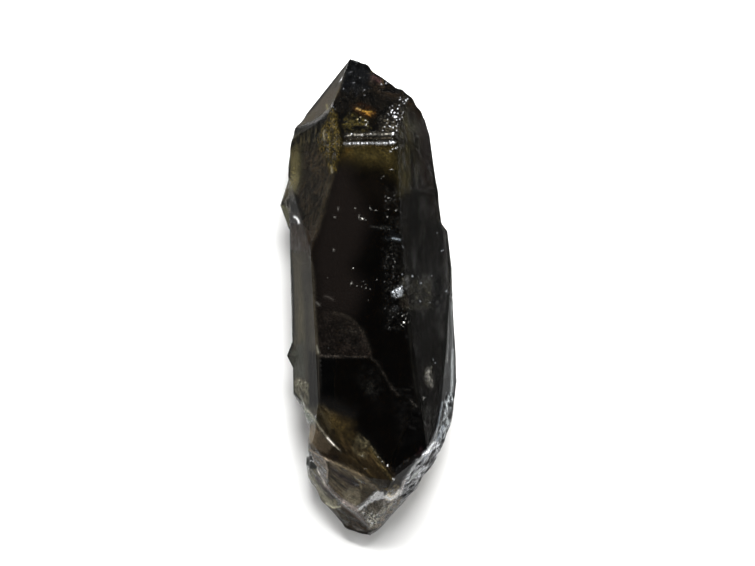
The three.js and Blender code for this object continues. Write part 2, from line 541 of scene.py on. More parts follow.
@dataclass(frozen=True)
class Stroke:
    """A fine line: a painted highlight on a lit edge or a ledge's rim, a ridge or a groove.

    Its width is in pixels, its lift, beads and edges in millimetres; gaps says how far the beads part it, 0 to 1.
    """

    REACH = 3.0  # widths from the line that it can touch
    ACROSS = 0.2  # how fast beads change across the line, against along it
    BEAD_EDGE = 1.6  # how sharply beads end

    path: Path
    width: float = 1.0
    cover: float = 0.5
    colour: str = "#b0b0b0"
    lift: float = 0.0
    gaps: float = 0.0
    bead: float = 0.5
    seed: int = 1
    broken: float = 0.35
    fine: float = 0.18

    def near(self, px: np.ndarray) -> np.ndarray:
        """Fine edges along the line.

        Args:
            px: Points of the picture, two in a row.

        Returns:
            Edge lengths in millimetres, one for each point.
        """
        box = boxed(px, self.path, self.REACH * self.width)
        size = np.full(len(px), NONE)
        size[box] = np.where(along(px[box], self.path)[0] < core(self.width), self.fine, NONE)
        return size

    def make(self, skin: Skin) -> None:
        """Lays exp(-(d/width)^2) of the distance d to the line, broken up by noise along it.

        Args:
            skin: The skin whose fields it adds to.
        """
        where = skin.within(self.path, self.REACH * self.width)
        far, run = along(skin.px[where], self.path)
        body = np.exp(-((far / self.width) ** 2)) * skin.up[where]
        lengths = np.c_[run, self.ACROSS * far, np.zeros(len(run))] * skin.view.mm_per_px
        beads = noise(lengths, self.bead, self.seed, 2)
        body = body * (1 - self.gaps * smooth(0.5 - beads * self.BEAD_EDGE))
        skin.lift[where] += self.lift * body
        skin.lay(where, self.cover * body, self.colour, self.broken)


class Pattern(Enum):
    """How a patch is broken up."""

    PLAIN = "plain"
    CLOUD = "cloud"
    FLECKS = "flecks"


@dataclass(frozen=True)
class Patch:
    """An area with a tone and roughness: a veil, a cloud, flecks or broken ground, or a painted glow, sheen or
    reflection.

    It fades over soft pixels on each side of its outline. Threshold and contrast say how much of the pattern shows and
    how sharp its edges are; grain, thread, rough and lift are in millimetres. Stretch draws the pattern and its fine
    grain out along the direction turn, in degrees clockwise from rightwards.
    """

    FLECK = (1.6, 3.2)  # a fleck's strength at its middle and its fall over a cell

    outline: Path
    cover: float = 0.3
    colour: str = "#808080"
    soft: float = 3.0
    pattern: Pattern = Pattern.CLOUD
    grain: float = 0.5
    stretch: float = 1.0
    turn: float = 0.0
    threshold: float = 0.0
    contrast: float = 1.5
    rough: float = 0.0
    lift: float = 0.0
    satin: float = 0.0
    seed: int = 1
    broken: float = 0.3
    thread: float = 0.22
    fine: float = 0.6

    def near(self, px: np.ndarray) -> np.ndarray:
        """Finer edges inside the outline and where it fades.

        Args:
            px: Points of the picture, two in a row.

        Returns:
            Edge lengths in millimetres, one for each point.
        """
        box = boxed(px, self.outline, self.soft)
        size = np.full(len(px), NONE)
        size[box] = np.where(inside(px[box], self.outline) > -self.soft, self.fine, NONE)
        return size

    def make(self, skin: Skin) -> None:
        """Lays the pattern, faded at the outline.

        Args:
            skin: The skin whose fields it adds to.
        """
        where = skin.within(self.outline, self.soft)
        body = smooth(0.5 + inside(skin.px[where], self.outline) / (2 * self.soft)) * skin.up[where]
        c, s = math.cos(math.radians(self.turn)), math.sin(math.radians(self.turn))
        turned = skin.flat[where] @ np.array([[c, -s, 0], [s, c, 0], [0, 0, 1]])
        grain = np.array([self.grain * self.stretch, self.grain, self.grain])
        if self.pattern is Pattern.PLAIN:
            value = np.ones(len(body))
            bumps = noise(turned, grain, self.seed)
        elif self.pattern is Pattern.CLOUD:
            bumps = noise(turned, grain, self.seed)
            value = smooth(0.5 + self.contrast * (bumps - self.threshold))
        else:
            far, mark = cells(turned, grain, self.seed)
            value = bumps = smooth(self.FLECK[0] - self.FLECK[1] * far) * (mark > self.threshold)
        skin.lift[where] += body * (self.lift + self.rough * bumps)
        skin.satin[where] = np.maximum(skin.satin[where], self.satin * body)
        weave = turned / np.array([self.thread * max(self.stretch, 1.0), self.thread, self.thread])
        skin.lay(where, self.cover * body * value, self.colour, self.broken, weave)


@dataclass(frozen=True)
class Specks:
    """Small pits and sparkling points, each with its place, radius in pixels and strength; a pale speck is a painted
    glint.
    """

    MARGIN = 4.0  # pixels round the specks' middles that they can touch
    REACH = 3.0  # radii from its middle that a speck can touch
    EDGE = 1.15  # strength at its middle, which falls by 1 over a radius
    RAGGED = 0.9  # how ragged its rim is
    RAGGED_GRAIN = 0.14
    RAGGED_SEED = 77
    BROKEN = 0.1

    spots: Sequence[Speck]
    # Pale by default: a painted glint.
    colour: str = "#e8eaee"
    lift: float = 0.05
    fine: float = 0.13

    def near(self, px: np.ndarray) -> np.ndarray:
        """Fine edges under each speck.

        Args:
            px: Points of the picture, two in a row.

        Returns:
            Edge lengths in millimetres, one for each point.
        """
        size = np.full(len(px), NONE)
        box = np.flatnonzero(boxed(px, np.array(self.spots)[:, :2], self.MARGIN))
        for u, v, radius, _ in self.spots:
            size[box[np.hypot(px[box, 0] - u, px[box, 1] - v) < core(radius)]] = self.fine
        return size

    def make(self, skin: Skin) -> None:
        """Lays each speck as EDGE - (d/radius)^2 of the distance d, with a ragged rim.

        Args:
            skin: The skin whose fields it adds to.
        """
        for u, v, radius, strength in self.spots:
            where = skin.within([(u, v)], self.REACH * radius)
            ragged = 1 + self.RAGGED * noise(skin.flat[where], self.RAGGED_GRAIN, self.RAGGED_SEED, 2)
            far = np.hypot(skin.px[where, 0] - u, skin.px[where, 1] - v) / radius * ragged
            body = np.clip(self.EDGE - far**2, 0, 1) * skin.up[where]
            skin.lift[where] += self.lift * strength * body
            skin.lay(where, strength * body, self.colour, self.BROKEN)


def scattered(
    outline: Path, count: int, radii: tuple[float, float], strength: tuple[float, float], seed: int,
) -> tuple[Speck, ...]:
    """Spreads specks evenly at random in an outline.

    Args:
        outline: The area's corners in pixels.
        count: How many specks.
        radii: Least and greatest radius in pixels.
        strength: Least and greatest strength.
        seed: Chooses another set.

    Returns:
        Specks as (across, down, radius, strength).
    """
    rng = np.random.default_rng(seed)
    low, high = np.min(outline, axis=0), np.max(outline, axis=0)
    found = low + rng.random((count * TRIES, 2)) * (high - low)
    found = found[inside(found, outline) > 0][:count]
    r = radii[0] + (radii[1] - radii[0]) * rng.random(len(found)) ** 2
    s = strength[0] + (strength[1] - strength[0]) * rng.random(len(found))
    return tuple((float(u), float(v), float(a), float(b)) for (u, v), a, b in zip(found, r, s))


@dataclass(frozen=True)
class Nudge:
    """A small push of the outline, fading with the distance from its middle."""

    at: Pixel
    by: Pixel
    reach: float = 6.0

    def make(self, points: np.ndarray, view: PhotoView) -> np.ndarray:
        """Moves places across the view by exp(-(d/reach)^2) of the push.

        Args:
            points: Places in millimetres, three in a row.
            view: Gives each place its pixel.

        Returns:
            The moved places.
        """
        px = view.pixels(points)
        share = np.exp(-(((px - np.asarray(self.at)) / self.reach) ** 2).sum(1))
        push = np.array([self.by[0], -self.by[1], 0.0]) * view.mm_per_px
        return points + share[:, None] * push


# What the photograph shows, part by part


LEFT_OUTLINE = ((348, 60.5), (336, 77.5), (316, 104), (300, 121.5), (293, 134), (289.5, 150), (289.2, 178))
RIGHT_OUTLINE = (
    (404, 92), (414, 103.5), (421, 113), (427.5, 124), (430.5, 140), (434, 172), (437.5, 192), (440.5, 218),
    (447.5, 231), (449, 262), (451, 296),
)


def point_marks() -> list[Mark]:
    """The marks of the point: painted slate sheen, amber flash (a brown stain under painted glow), olive cloud of
    painted glow, the ledges' beaded rims as painted highlights, and the rough corner with painted glints.

    Returns:
        The marks, in the order in which they are laid.
    """
    apex_sheen = ((343, 68), (350, 60), (361, 64), (371, 71), (374, 80), (368, 92), (352, 96), (342, 90), (340, 82))
    brow = ((372, 76), (381, 79), (392, 88), (402, 91), (398, 100), (384, 99), (374, 94), (368, 84))
    middle = ((338, 94), (352, 88), (378, 88), (392, 98), (384, 112), (366, 108), (350, 112), (334, 112))
    olive = ((344, 118), (350, 113), (361, 116), (367, 119), (371, 128), (366, 132), (346, 132), (342, 124))
    corner = (
        (378, 117), (387, 113), (391, 104), (399, 96), (409, 97), (405, 110), (402, 122), (399, 131), (378, 134),
    )
    cloud = ((380, 123), (386, 118), (396, 121), (399, 127), (393, 132), (381, 132))
    upper_ledge_glint = ((345, 136.4), (352, 134.5), (362, 135), (372, 134), (384, 134.4), (394, 133.6))
    lower_ledge_glint = ((344.5, 143.6), (352, 143.3), (362, 143.2), (372, 143), (382, 143.2), (393.5, 142.6))
    return [
        # Painted sheen: slate grey on the apex, where the face reflects the dim room.
        Patch(apex_sheen, 0.44, "#2a2c2f", grain=0.6, contrast=0.9, thread=0.2, seed=3),
        Patch(brow, 0.5, "#332a20", broken=0.5, thread=0.25, seed=4),
        Stroke(((373, 77), (377, 79), (380, 81)), 2.4, 0.35, "#5a4444"),
        Patch(middle, 0.72, "#120f0b", grain=0.24, stretch=3, turn=90, threshold=-0.2, contrast=1.6, rough=0.03,
            broken=0.6, seed=5, fine=0.32),
        Patch(middle, 0.2, "#353024", grain=0.22, stretch=3.4, turn=92, threshold=0.3, contrast=3, rough=0.02,
            broken=0.6, thread=0.2, seed=55, fine=0.32),
        # Painted glow: olive light through the point.
        Patch(olive, 0.72, "#463f20", 2.5, grain=0.35, contrast=1.9, rough=0.03, broken=0.75, thread=0.26, seed=6,
            fine=0.3),
        Patch(((369, 112), (379, 113), (379, 121), (371, 121)), 0.6, "#1d190d", 2, grain=0.4, broken=0.4, seed=7),
        # Amber flash: partly a brown stain, partly painted glow of light reflected inside the point.
        Patch(((351, 104), (358, 103), (371, 106), (378, 110), (376, 117), (369, 119), (360, 116), (354, 112)), 0.6,
            "#2e1d08", 2.4, contrast=0.8, seed=7),
        Stroke(((358, 103.6), (364, 104.6), (369, 107)), 1.2, 0.12, "#4c2c15"),
        Stroke(((356.5, 109), (360, 110.4), (365, 112), (370, 113.4), (374, 113)), 1.4, 0.45, "#6f5024", gaps=0.3,
            bead=0.3, broken=0.5, seed=8),
        Stroke(((356.8, 108.6), (360.4, 109.7)), 0.9, 0.65, "#a08c60"),
        Stroke(((363, 111), (368, 112), (371.5, 111.6)), 0.8, 0.5, "#b09048"),
        Stroke(((366.6, 113.2), (369.6, 115)), 1.1, 0.55, "#a8803e"),
        Patch(corner, 0.8, "#14120f", 2, pattern=Pattern.PLAIN, grain=0.3, rough=0.07, broken=0.5, thread=0.25,
            seed=10, fine=0.2),
        Patch(corner, 0.5, "#4c473e", 2, grain=0.26, threshold=0.22, contrast=2.6, rough=0.04, broken=0.8,
            thread=0.24, seed=56, fine=0.2),
        Patch(cloud, 0.7, "#565145", 2, grain=0.28, threshold=0.1, contrast=2.4, rough=0.05, broken=0.6, seed=11,
            fine=0.17),
        Patch(((344, 131), (396, 130), (397, 140.6), (343, 141)), 0.66, "#211f1a", 1.6, grain=0.3, broken=0.6,
            seed=12),
        # Painted highlights: the ledges' narrow faces catch the light as beaded pale lines.
        Stroke(upper_ledge_glint, 1, 0.7, "#96938b", lift=0.04, gaps=0.9, bead=0.28, broken=0.85, seed=12, fine=0.14),
        Stroke(((350, 138.8), (372, 138.2), (393, 138)), 0.9, 0.36, "#787060", gaps=0.7, broken=0.8, seed=13),
        # Painted glow: olive band under the lower ledge.
        Patch(((344, 145), (394, 144.6), (395, 149), (344, 149)), 0.6, "#41361a", 1.2, grain=0.3, broken=0.8,
            thread=0.2, seed=13, fine=0.3),
        Stroke(lower_ledge_glint, 0.95, 0.95, "#d4d6da", lift=0.05, gaps=0.8, bead=0.22, broken=0.75, seed=14, fine=0.14),
        Stroke(((345, 145.7), (352, 145.9), (366, 145.3)), 0.8, 0.14, "#928f81", gaps=0.6, bead=0.3, broken=0.7,
            seed=15),
        # Painted glints on the rough corner, the ledges and the point; then pale yellow ones.
        Specks(((392.2, 110.2, 0.92, 0.9), (397.8, 109, 0.92, 1), (394.6, 112.8, 1.09, 0.9),
            (391.3, 112.4, 0.76, 0.69), (395.2, 117, 1.34, 1), (393, 115.6, 0.76, 0.69), (398.2, 113, 0.67, 0.6),
            (399.8, 119.2, 0.76, 0.69), (396.8, 119.8, 0.67, 0.6), (403, 112.4, 0.76, 0.52),
            (402.4, 117.2, 0.67, 0.43), (401.6, 114.6, 0.6, 0.34), (400.3, 99.4, 0.67, 0.6), (405.8, 100, 0.92, 0.9),
            (407.6, 98.7, 0.67, 0.69), (404.4, 103.4, 0.76, 0.52), (402.8, 101.4, 0.6, 0.43),
            (400.4, 97.3, 0.6, 0.34), (399, 105.2, 0.67, 0.34), (392.2, 105.8, 0.6, 0.26), (389.8, 107.2, 0.76, 0.3),
            (388.4, 114.2, 0.67, 0.34), (390.2, 126.4, 0.92, 0.52), (393.2, 127.6, 0.84, 0.6),
            (396.4, 126.2, 0.92, 0.6), (397.8, 124.2, 0.67, 0.52), (386.8, 123, 0.67, 0.34),
            (384.4, 127.2, 0.67, 0.43), (383, 130.4, 0.67, 0.43), (396.6, 130.6, 0.76, 0.52),
            (387.6, 119.4, 0.67, 0.3), (393.4, 121.8, 0.76, 0.34), (393, 133.4, 1.34, 1), (393.2, 142.4, 0.92, 1),
            (392.4, 149.2, 0.76, 0.6), (395.6, 148.4, 0.67, 0.52), (391, 151.4, 0.6, 0.34), (397.6, 147.2, 0.6, 0.43),
            (391.6, 169.6, 0.84, 0.39), (341.4, 79.8, 0.84, 1), (354.6, 82.4, 0.76, 0.14), (359.6, 77.8, 1, 0.1),
            (350, 72.4, 0.6, 0.1), (343.6, 88.4, 0.67, 0.26), (364.6, 90, 0.76, 0.21), (365, 95.4, 0.67, 0.17),
            (356.8, 62.8, 0.67, 0.2), (381.4, 84.2, 0.84, 0.39), (385.8, 83.6, 0.76, 0.39),
            (366.2, 124.6, 1.09, 0.52), (365.4, 120.2, 0.67, 0.34), (368, 121.8, 0.67, 0.39),
            (351.6, 134.2, 0.84, 0.6), (361.8, 135, 0.76, 0.43), (371, 134.2, 0.76, 0.43)), "#e4e6ea"),
        Specks(((367.2, 67, 1.09, 1), (368.8, 65.8, 0.67, 0.69), (358.2, 119.2, 0.84, 0.34),
            (360.6, 117, 0.84, 0.34)), "#d8d2b4"),
    ]


def left_marks() -> list[Mark]:
    """The marks of the upper left faces: the rhombohedral face, scallops, gold scales with painted glints, streaks and
    the side crystal with its painted highlight.

    Returns:
        The marks, in the order in which they are laid.
    """
    rhomb = (
        (348, 60), (344, 76), (341, 88), (336, 98), (330, 107), (323, 114), (314, 121), (305, 124), (298, 126),
        (305, 116), (315, 104), (325, 92), (335, 79),
    )
    fringe = (
        (297, 127), (306, 125), (315, 122), (324, 115), (331, 108), (334, 118), (330, 127), (322, 134), (318, 148),
        (300, 152), (290, 150), (291, 138),
    )
    scales = (
        (330, 106), (336, 110), (338, 124), (342, 140), (339, 156), (336, 172), (330, 174), (326, 160), (319, 150),
        (318, 138), (322, 126), (328, 118),
    )
    edge = (
        (289, 150), (297, 145), (302, 152), (303, 172), (300, 188), (294, 200), (287, 197), (286, 188), (288, 178),
    )
    upper = (
        (304, 144), (319, 144), (328, 160), (336, 168), (333, 180), (328.5, 195), (325.5, 210), (322, 220),
        (318, 232), (313.5, 241), (310, 250), (300, 242), (291, 228), (290, 212), (296, 200), (302, 180),
    )
    lower = ((290, 222), (300, 222), (308, 230), (312, 240), (311, 252), (308, 264), (299, 264), (291, 252))
    marks: list[Mark] = [
        Patch(rhomb, 0.95, "#373228", 1.2, pattern=Pattern.PLAIN, stretch=4, turn=128, satin=0.3, broken=0.12),
        Patch(((326, 92), (336, 86), (338, 96), (329, 106), (318, 115), (309, 114)), 0.45, "#493c31", 5, grain=1.2,
            contrast=0.7, broken=0.1, seed=22),
        Patch(((298, 126), (307, 116), (322, 109), (325, 113), (314, 121)), 0.5, "#453d2b", grain=0.8, broken=0.2,
            seed=22),
        Patch(((350, 60), (346, 74), (338, 88), (330, 88), (336, 76)), 0.55, "#1d1e1c", 4, grain=1, contrast=0.7,
            broken=0.2, seed=23),
        Stroke(((339.4, 88), (334.4, 98), (329, 106)), 1, 0.12, "#76725e", gaps=0.3, bead=0.8, broken=0.2, seed=23),
        Patch(fringe, 0.92, "#0f0e09", pattern=Pattern.PLAIN, broken=0.1),
        Patch(((291, 140), (296, 131), (318, 128), (323, 136), (320, 150), (291, 152)), 0.76, "#4a4432", 4, grain=0.2,
            stretch=6, turn=92, threshold=0.05, contrast=2.6, rough=0.05, broken=0.45, thread=0.2, seed=24,
            fine=0.24),
        Patch(edge, 0.8, "#655f44", 4, grain=1.4, threshold=-0.3, contrast=0.6, broken=0.15, thread=0.4, seed=27),
        Patch(upper, 0.86, "#0f0d08", 4, pattern=Pattern.PLAIN, broken=0),
        Patch(((298, 146), (305, 146), (304, 186), (297, 194), (294, 196), (298, 180)), 0.62, "#12100a", 3.5,
            pattern=Pattern.PLAIN, broken=0),
        Patch(upper, 0.46, "#3e3528", 2.4, grain=0.22, stretch=3.2, turn=108, rough=0.03, broken=0.35, thread=0.2,
            seed=28, fine=0.36),
        Patch(((313, 150), (323, 152), (327, 166), (318, 176), (309, 166)), 0.34, "#4b3f29", grain=0.18, stretch=2.5,
            turn=60, contrast=2.4, broken=0.6, seed=29, fine=0.36),
        Patch(((322, 184), (330, 182), (328, 196), (320, 198)), 0.4, "#534f43", grain=0.25, broken=0.5, seed=29),
        Stroke(((331.4, 172), (327, 188), (323, 204), (320, 217), (316, 229), (311.4, 239)), 2.3, 0.34, "#3f382c",
            gaps=0.4, bead=0.8, broken=0.45, seed=29),
        Patch(((312, 222), (321, 219), (318, 232), (312, 241), (308, 234)), 0.45, "#453f39", grain=0.25, broken=0.4,
            seed=30),
        Patch(lower, 0.92, "#30251b", stretch=2, turn=100, threshold=-0.2, contrast=0.9, satin=0.6, seed=30),
        Patch(scales, 0.92, "#0e0c05", 2.5, seed=31),
        Patch(scales, 0.66, "#3a3216", 2, grain=0.3, stretch=2, turn=84, threshold=-0.2, contrast=1.2, rough=0.05,
            broken=0.5, thread=0.17, seed=32, fine=0.2),
        # Painted glints: gold flecks and the pale and gold streaks on the scales.
        Patch(scales, 0.62, "#827038", 2, pattern=Pattern.FLECKS, grain=0.22, stretch=2, turn=62, threshold=0.2,
            rough=0.05, broken=0.8, thread=0.2, seed=132, fine=0.2),
        Stroke(((333, 119), (332, 123.5), (333.4, 128)), 0.9, 0.36, "#877852", broken=0.5),
        Stroke(((335, 123), (336, 129)), 0.8, 0.4, "#756525"),
        Stroke(((324.4, 130.4), (323.4, 134), (324, 139.4)), 1, 0.56, "#a39b84", gaps=0.5, bead=0.3, seed=34),
        Stroke(((328.6, 133), (330, 141), (329.4, 147)), 0.9, 0.36, "#8a7f4a", gaps=0.5, bead=0.3, seed=34),
        Stroke(((335.4, 133), (334.6, 140), (335.4, 148.6)), 0.9, 0.3, "#7d6f36", gaps=0.6, bead=0.3, seed=35),
        Stroke(((331, 150), (333, 158), (331.6, 166)), 0.9, 0.08, "#605a30", gaps=0.6, bead=0.3, seed=35),
        Stroke(((331.4, 167), (332, 172)), 1.1, 0.56, "#96907e"),
        Stroke(((326.6, 104.6), (327.6, 109.4)), 0.9, 0.42, "#9f966d", gaps=0.3, bead=0.35, seed=36),
        # Painted glints.
        Specks(((333.4, 107, 0.84, 0.43), (335.2, 109.4, 0.76, 0.34), (332, 112, 0.76, 0.26)), "#89919d"),
        Patch(((279, 205), (287, 190), (293, 190), (301, 200), (301, 212), (292, 212), (286, 206.5)), 0.96, "#060504",
            1.6, grain=0.6, threshold=-0.4, contrast=0.8, broken=0.2, seed=37),
        Patch(((286, 187), (292, 189), (288.5, 198), (281, 204)), 0.9, "#433d2b", 1.8, grain=0.8, threshold=-0.3,
            contrast=0.7, broken=0.2, seed=38),
        Patch(((280, 205.5), (284, 205), (288, 209), (290.5, 217), (289, 228), (285.5, 219), (281.5, 211)), 0.95,
            "#565544", 1, pattern=Pattern.PLAIN, broken=0.15, fine=0.3),
        Patch(((288, 206), (294, 207), (294, 212), (290, 213)), 0.95, "#060605", 1.6, seed=39),
        Patch(((289, 214), (296, 213), (301, 222), (298, 226), (290, 226)), 0.92, "#1e1c1f", 1.6, grain=0.4,
            threshold=-0.2, contrast=1.2, seed=39, fine=0.3),
        Patch(((300, 207), (305, 212), (303, 226), (300, 221)), 0.9, "#050504", 1.6, seed=39),
        # Painted highlight on the side crystal.
        Stroke(((294.4, 216.8), (296.6, 218), (298.4, 220.6), (298.7, 223)), 1.05, 1, "#f8f8f8", lift=0.03, broken=0,
            fine=0.17),
        Specks(((296.3, 222.2, 0.92, 0.95),), "#15161d"),
        Stroke(LEFT_OUTLINE, 1.5, 0.95, "#0c0c0a", broken=0.1),
    ]
    grooves = (
        (297, 130, 141), (302.4, 128, 146), (306.4, 127, 140), (310.4, 126, 148), (313.6, 124, 138), (319.6, 122, 132),
    )
    for i, (u, top, low) in enumerate(grooves):
        groove = ((u, top), (u + 0.4, (top + low) / 2), (u - 0.2, low))
        marks.append(Stroke(groove, 1.35, 0.86, "#0c0b07", lift=-0.06, gaps=0.2, bead=1, broken=0.1, seed=42 + i))
    return marks


def strip_marks() -> list[Mark]:
    """The marks of the pale strip down the left, whose tone and pale bands are painted reflection of the floor: its
    bands, thin lines, lit edge and chips with painted glints.

    Returns:
        The marks, in the order in which they are laid.
    """
    strip = (
        (290, 250), (300, 251), (309, 252), (313, 265), (314.5, 280), (315.5, 300), (316.5, 320), (318, 340),
        (319, 352), (318.6, 370), (319.6, 400), (322, 413), (314, 416), (306, 409), (300, 400), (293, 392),
        (292, 375), (287, 357), (293, 342), (293, 300), (291, 262),
    )
    return [
        # Painted reflection: the strip's tone and its pale bands stand in for the floor's reflection.
        Patch(strip, 0.95, "#37332a", 1.4, pattern=Pattern.PLAIN, stretch=5, turn=90, broken=0.1),
        Patch(((292, 254), (301, 256), (304, 300), (304, 345), (294, 345), (293, 300)), 0.62, "#514d3c", 2.4,
            stretch=6, turn=90, threshold=-0.1, contrast=0.9, broken=0.25, thread=0.25, seed=102, fine=0.4),
        Patch(((305, 248), (311, 256), (313.5, 275), (314, 300), (305, 300), (302, 270)), 0.55, "#23201a", 2.6,
            grain=0.7, stretch=3, turn=90, contrast=0.8, broken=0.2, seed=103),
        Patch(((300, 270), (312, 268), (315, 302), (302, 302)), 0.5, "#1e1b17", grain=0.8, contrast=0.7, broken=0.15,
            seed=103),
        Patch(((297, 300), (304, 300), (305, 340), (298, 340)), 0.45, "#595643", 2.4, stretch=5, turn=90, seed=104),
        Stroke(((306.6, 296), (307.6, 330), (308.6, 370), (309, 396)), 1.5, 0.6, "#211f18", gaps=0.3, bead=1.6,
            broken=0.2, seed=104),
        Stroke(((311.6, 296), (312.4, 325), (313.6, 340), (316, 349), (318.4, 355)), 1.7, 0.5, "#46423a", gaps=0.3,
            bead=1.4, seed=105),
        Stroke(((316.6, 346.5), (318.6, 352.5)), 1.1, 0.7, "#63625a", broken=0.3),
        Stroke(((316.5, 302.4), (319.4, 305)), 1.1, 0.5, "#62605b"),
        Patch(((288, 350), (304, 342), (304.5, 378), (293, 378), (286.5, 357)), 0.8, "#454740", 2, grain=0.6,
            stretch=2, turn=90, threshold=-0.2, contrast=0.9, broken=0.25, seed=106),
        Stroke(((289, 353), (296, 352), (303, 356)), 1.4, 0.3, "#3d443d"),
        Patch(((293, 379), (300, 379), (309, 384), (309, 405), (300, 399), (293, 391)), 0.78, "#787562", 2, grain=0.4,
            threshold=-0.1, contrast=1.8, broken=0.4, seed=107),
        Patch(((308.6, 350), (318.6, 356), (320.6, 411), (309, 405)), 0.95, "#100f0c", 1.6, pattern=Pattern.PLAIN,
            stretch=5, turn=90, broken=0.2),
        Specks(((299.6, 380.4, 1.01, 0.9), (301.6, 383.4, 0.92, 0.6), (305.4, 382.2, 1.01, 0.69),
            (298, 384.2, 0.76, 0.43), (306.4, 386, 0.67, 0.34), (301.8, 388.6, 0.67, 0.34)), "#aba898"),
        Stroke(((300.6, 396), (303.6, 404), (307, 411)), 0.9, 0.85, "#a9aaa3", gaps=0.4, bead=0.4, seed=108),
        Stroke(((312.2, 352), (313.2, 378), (313, 405)), 0.7, 0.24, "#46413b", gaps=0.3, bead=1.6, broken=0.3,
            seed=109),
        Stroke(((315.4, 356), (316.2, 380), (316.6, 405)), 0.7, 0.24, "#46413b", gaps=0.3, bead=1.6, broken=0.3,
            seed=110),
        Stroke(((318.2, 360), (318.8, 385), (319.6, 406)), 0.8, 0.28, "#48443e", gaps=0.3, bead=1.6, broken=0.3,
            seed=111),
        Stroke(((314.3, 352), (314.8, 380), (315, 402)), 0.9, 0.7, "#0e0c09", gaps=0.2, bead=1.6, broken=0.2,
            seed=112),
        Stroke(((289, 228), (290.8, 255), (293, 280), (293.6, 330), (292.6, 345), (288, 357), (293, 371),
            (293.4, 391), (300, 399.5)), 1.4, 0.92, "#0b0b08", broken=0.1),
    ]


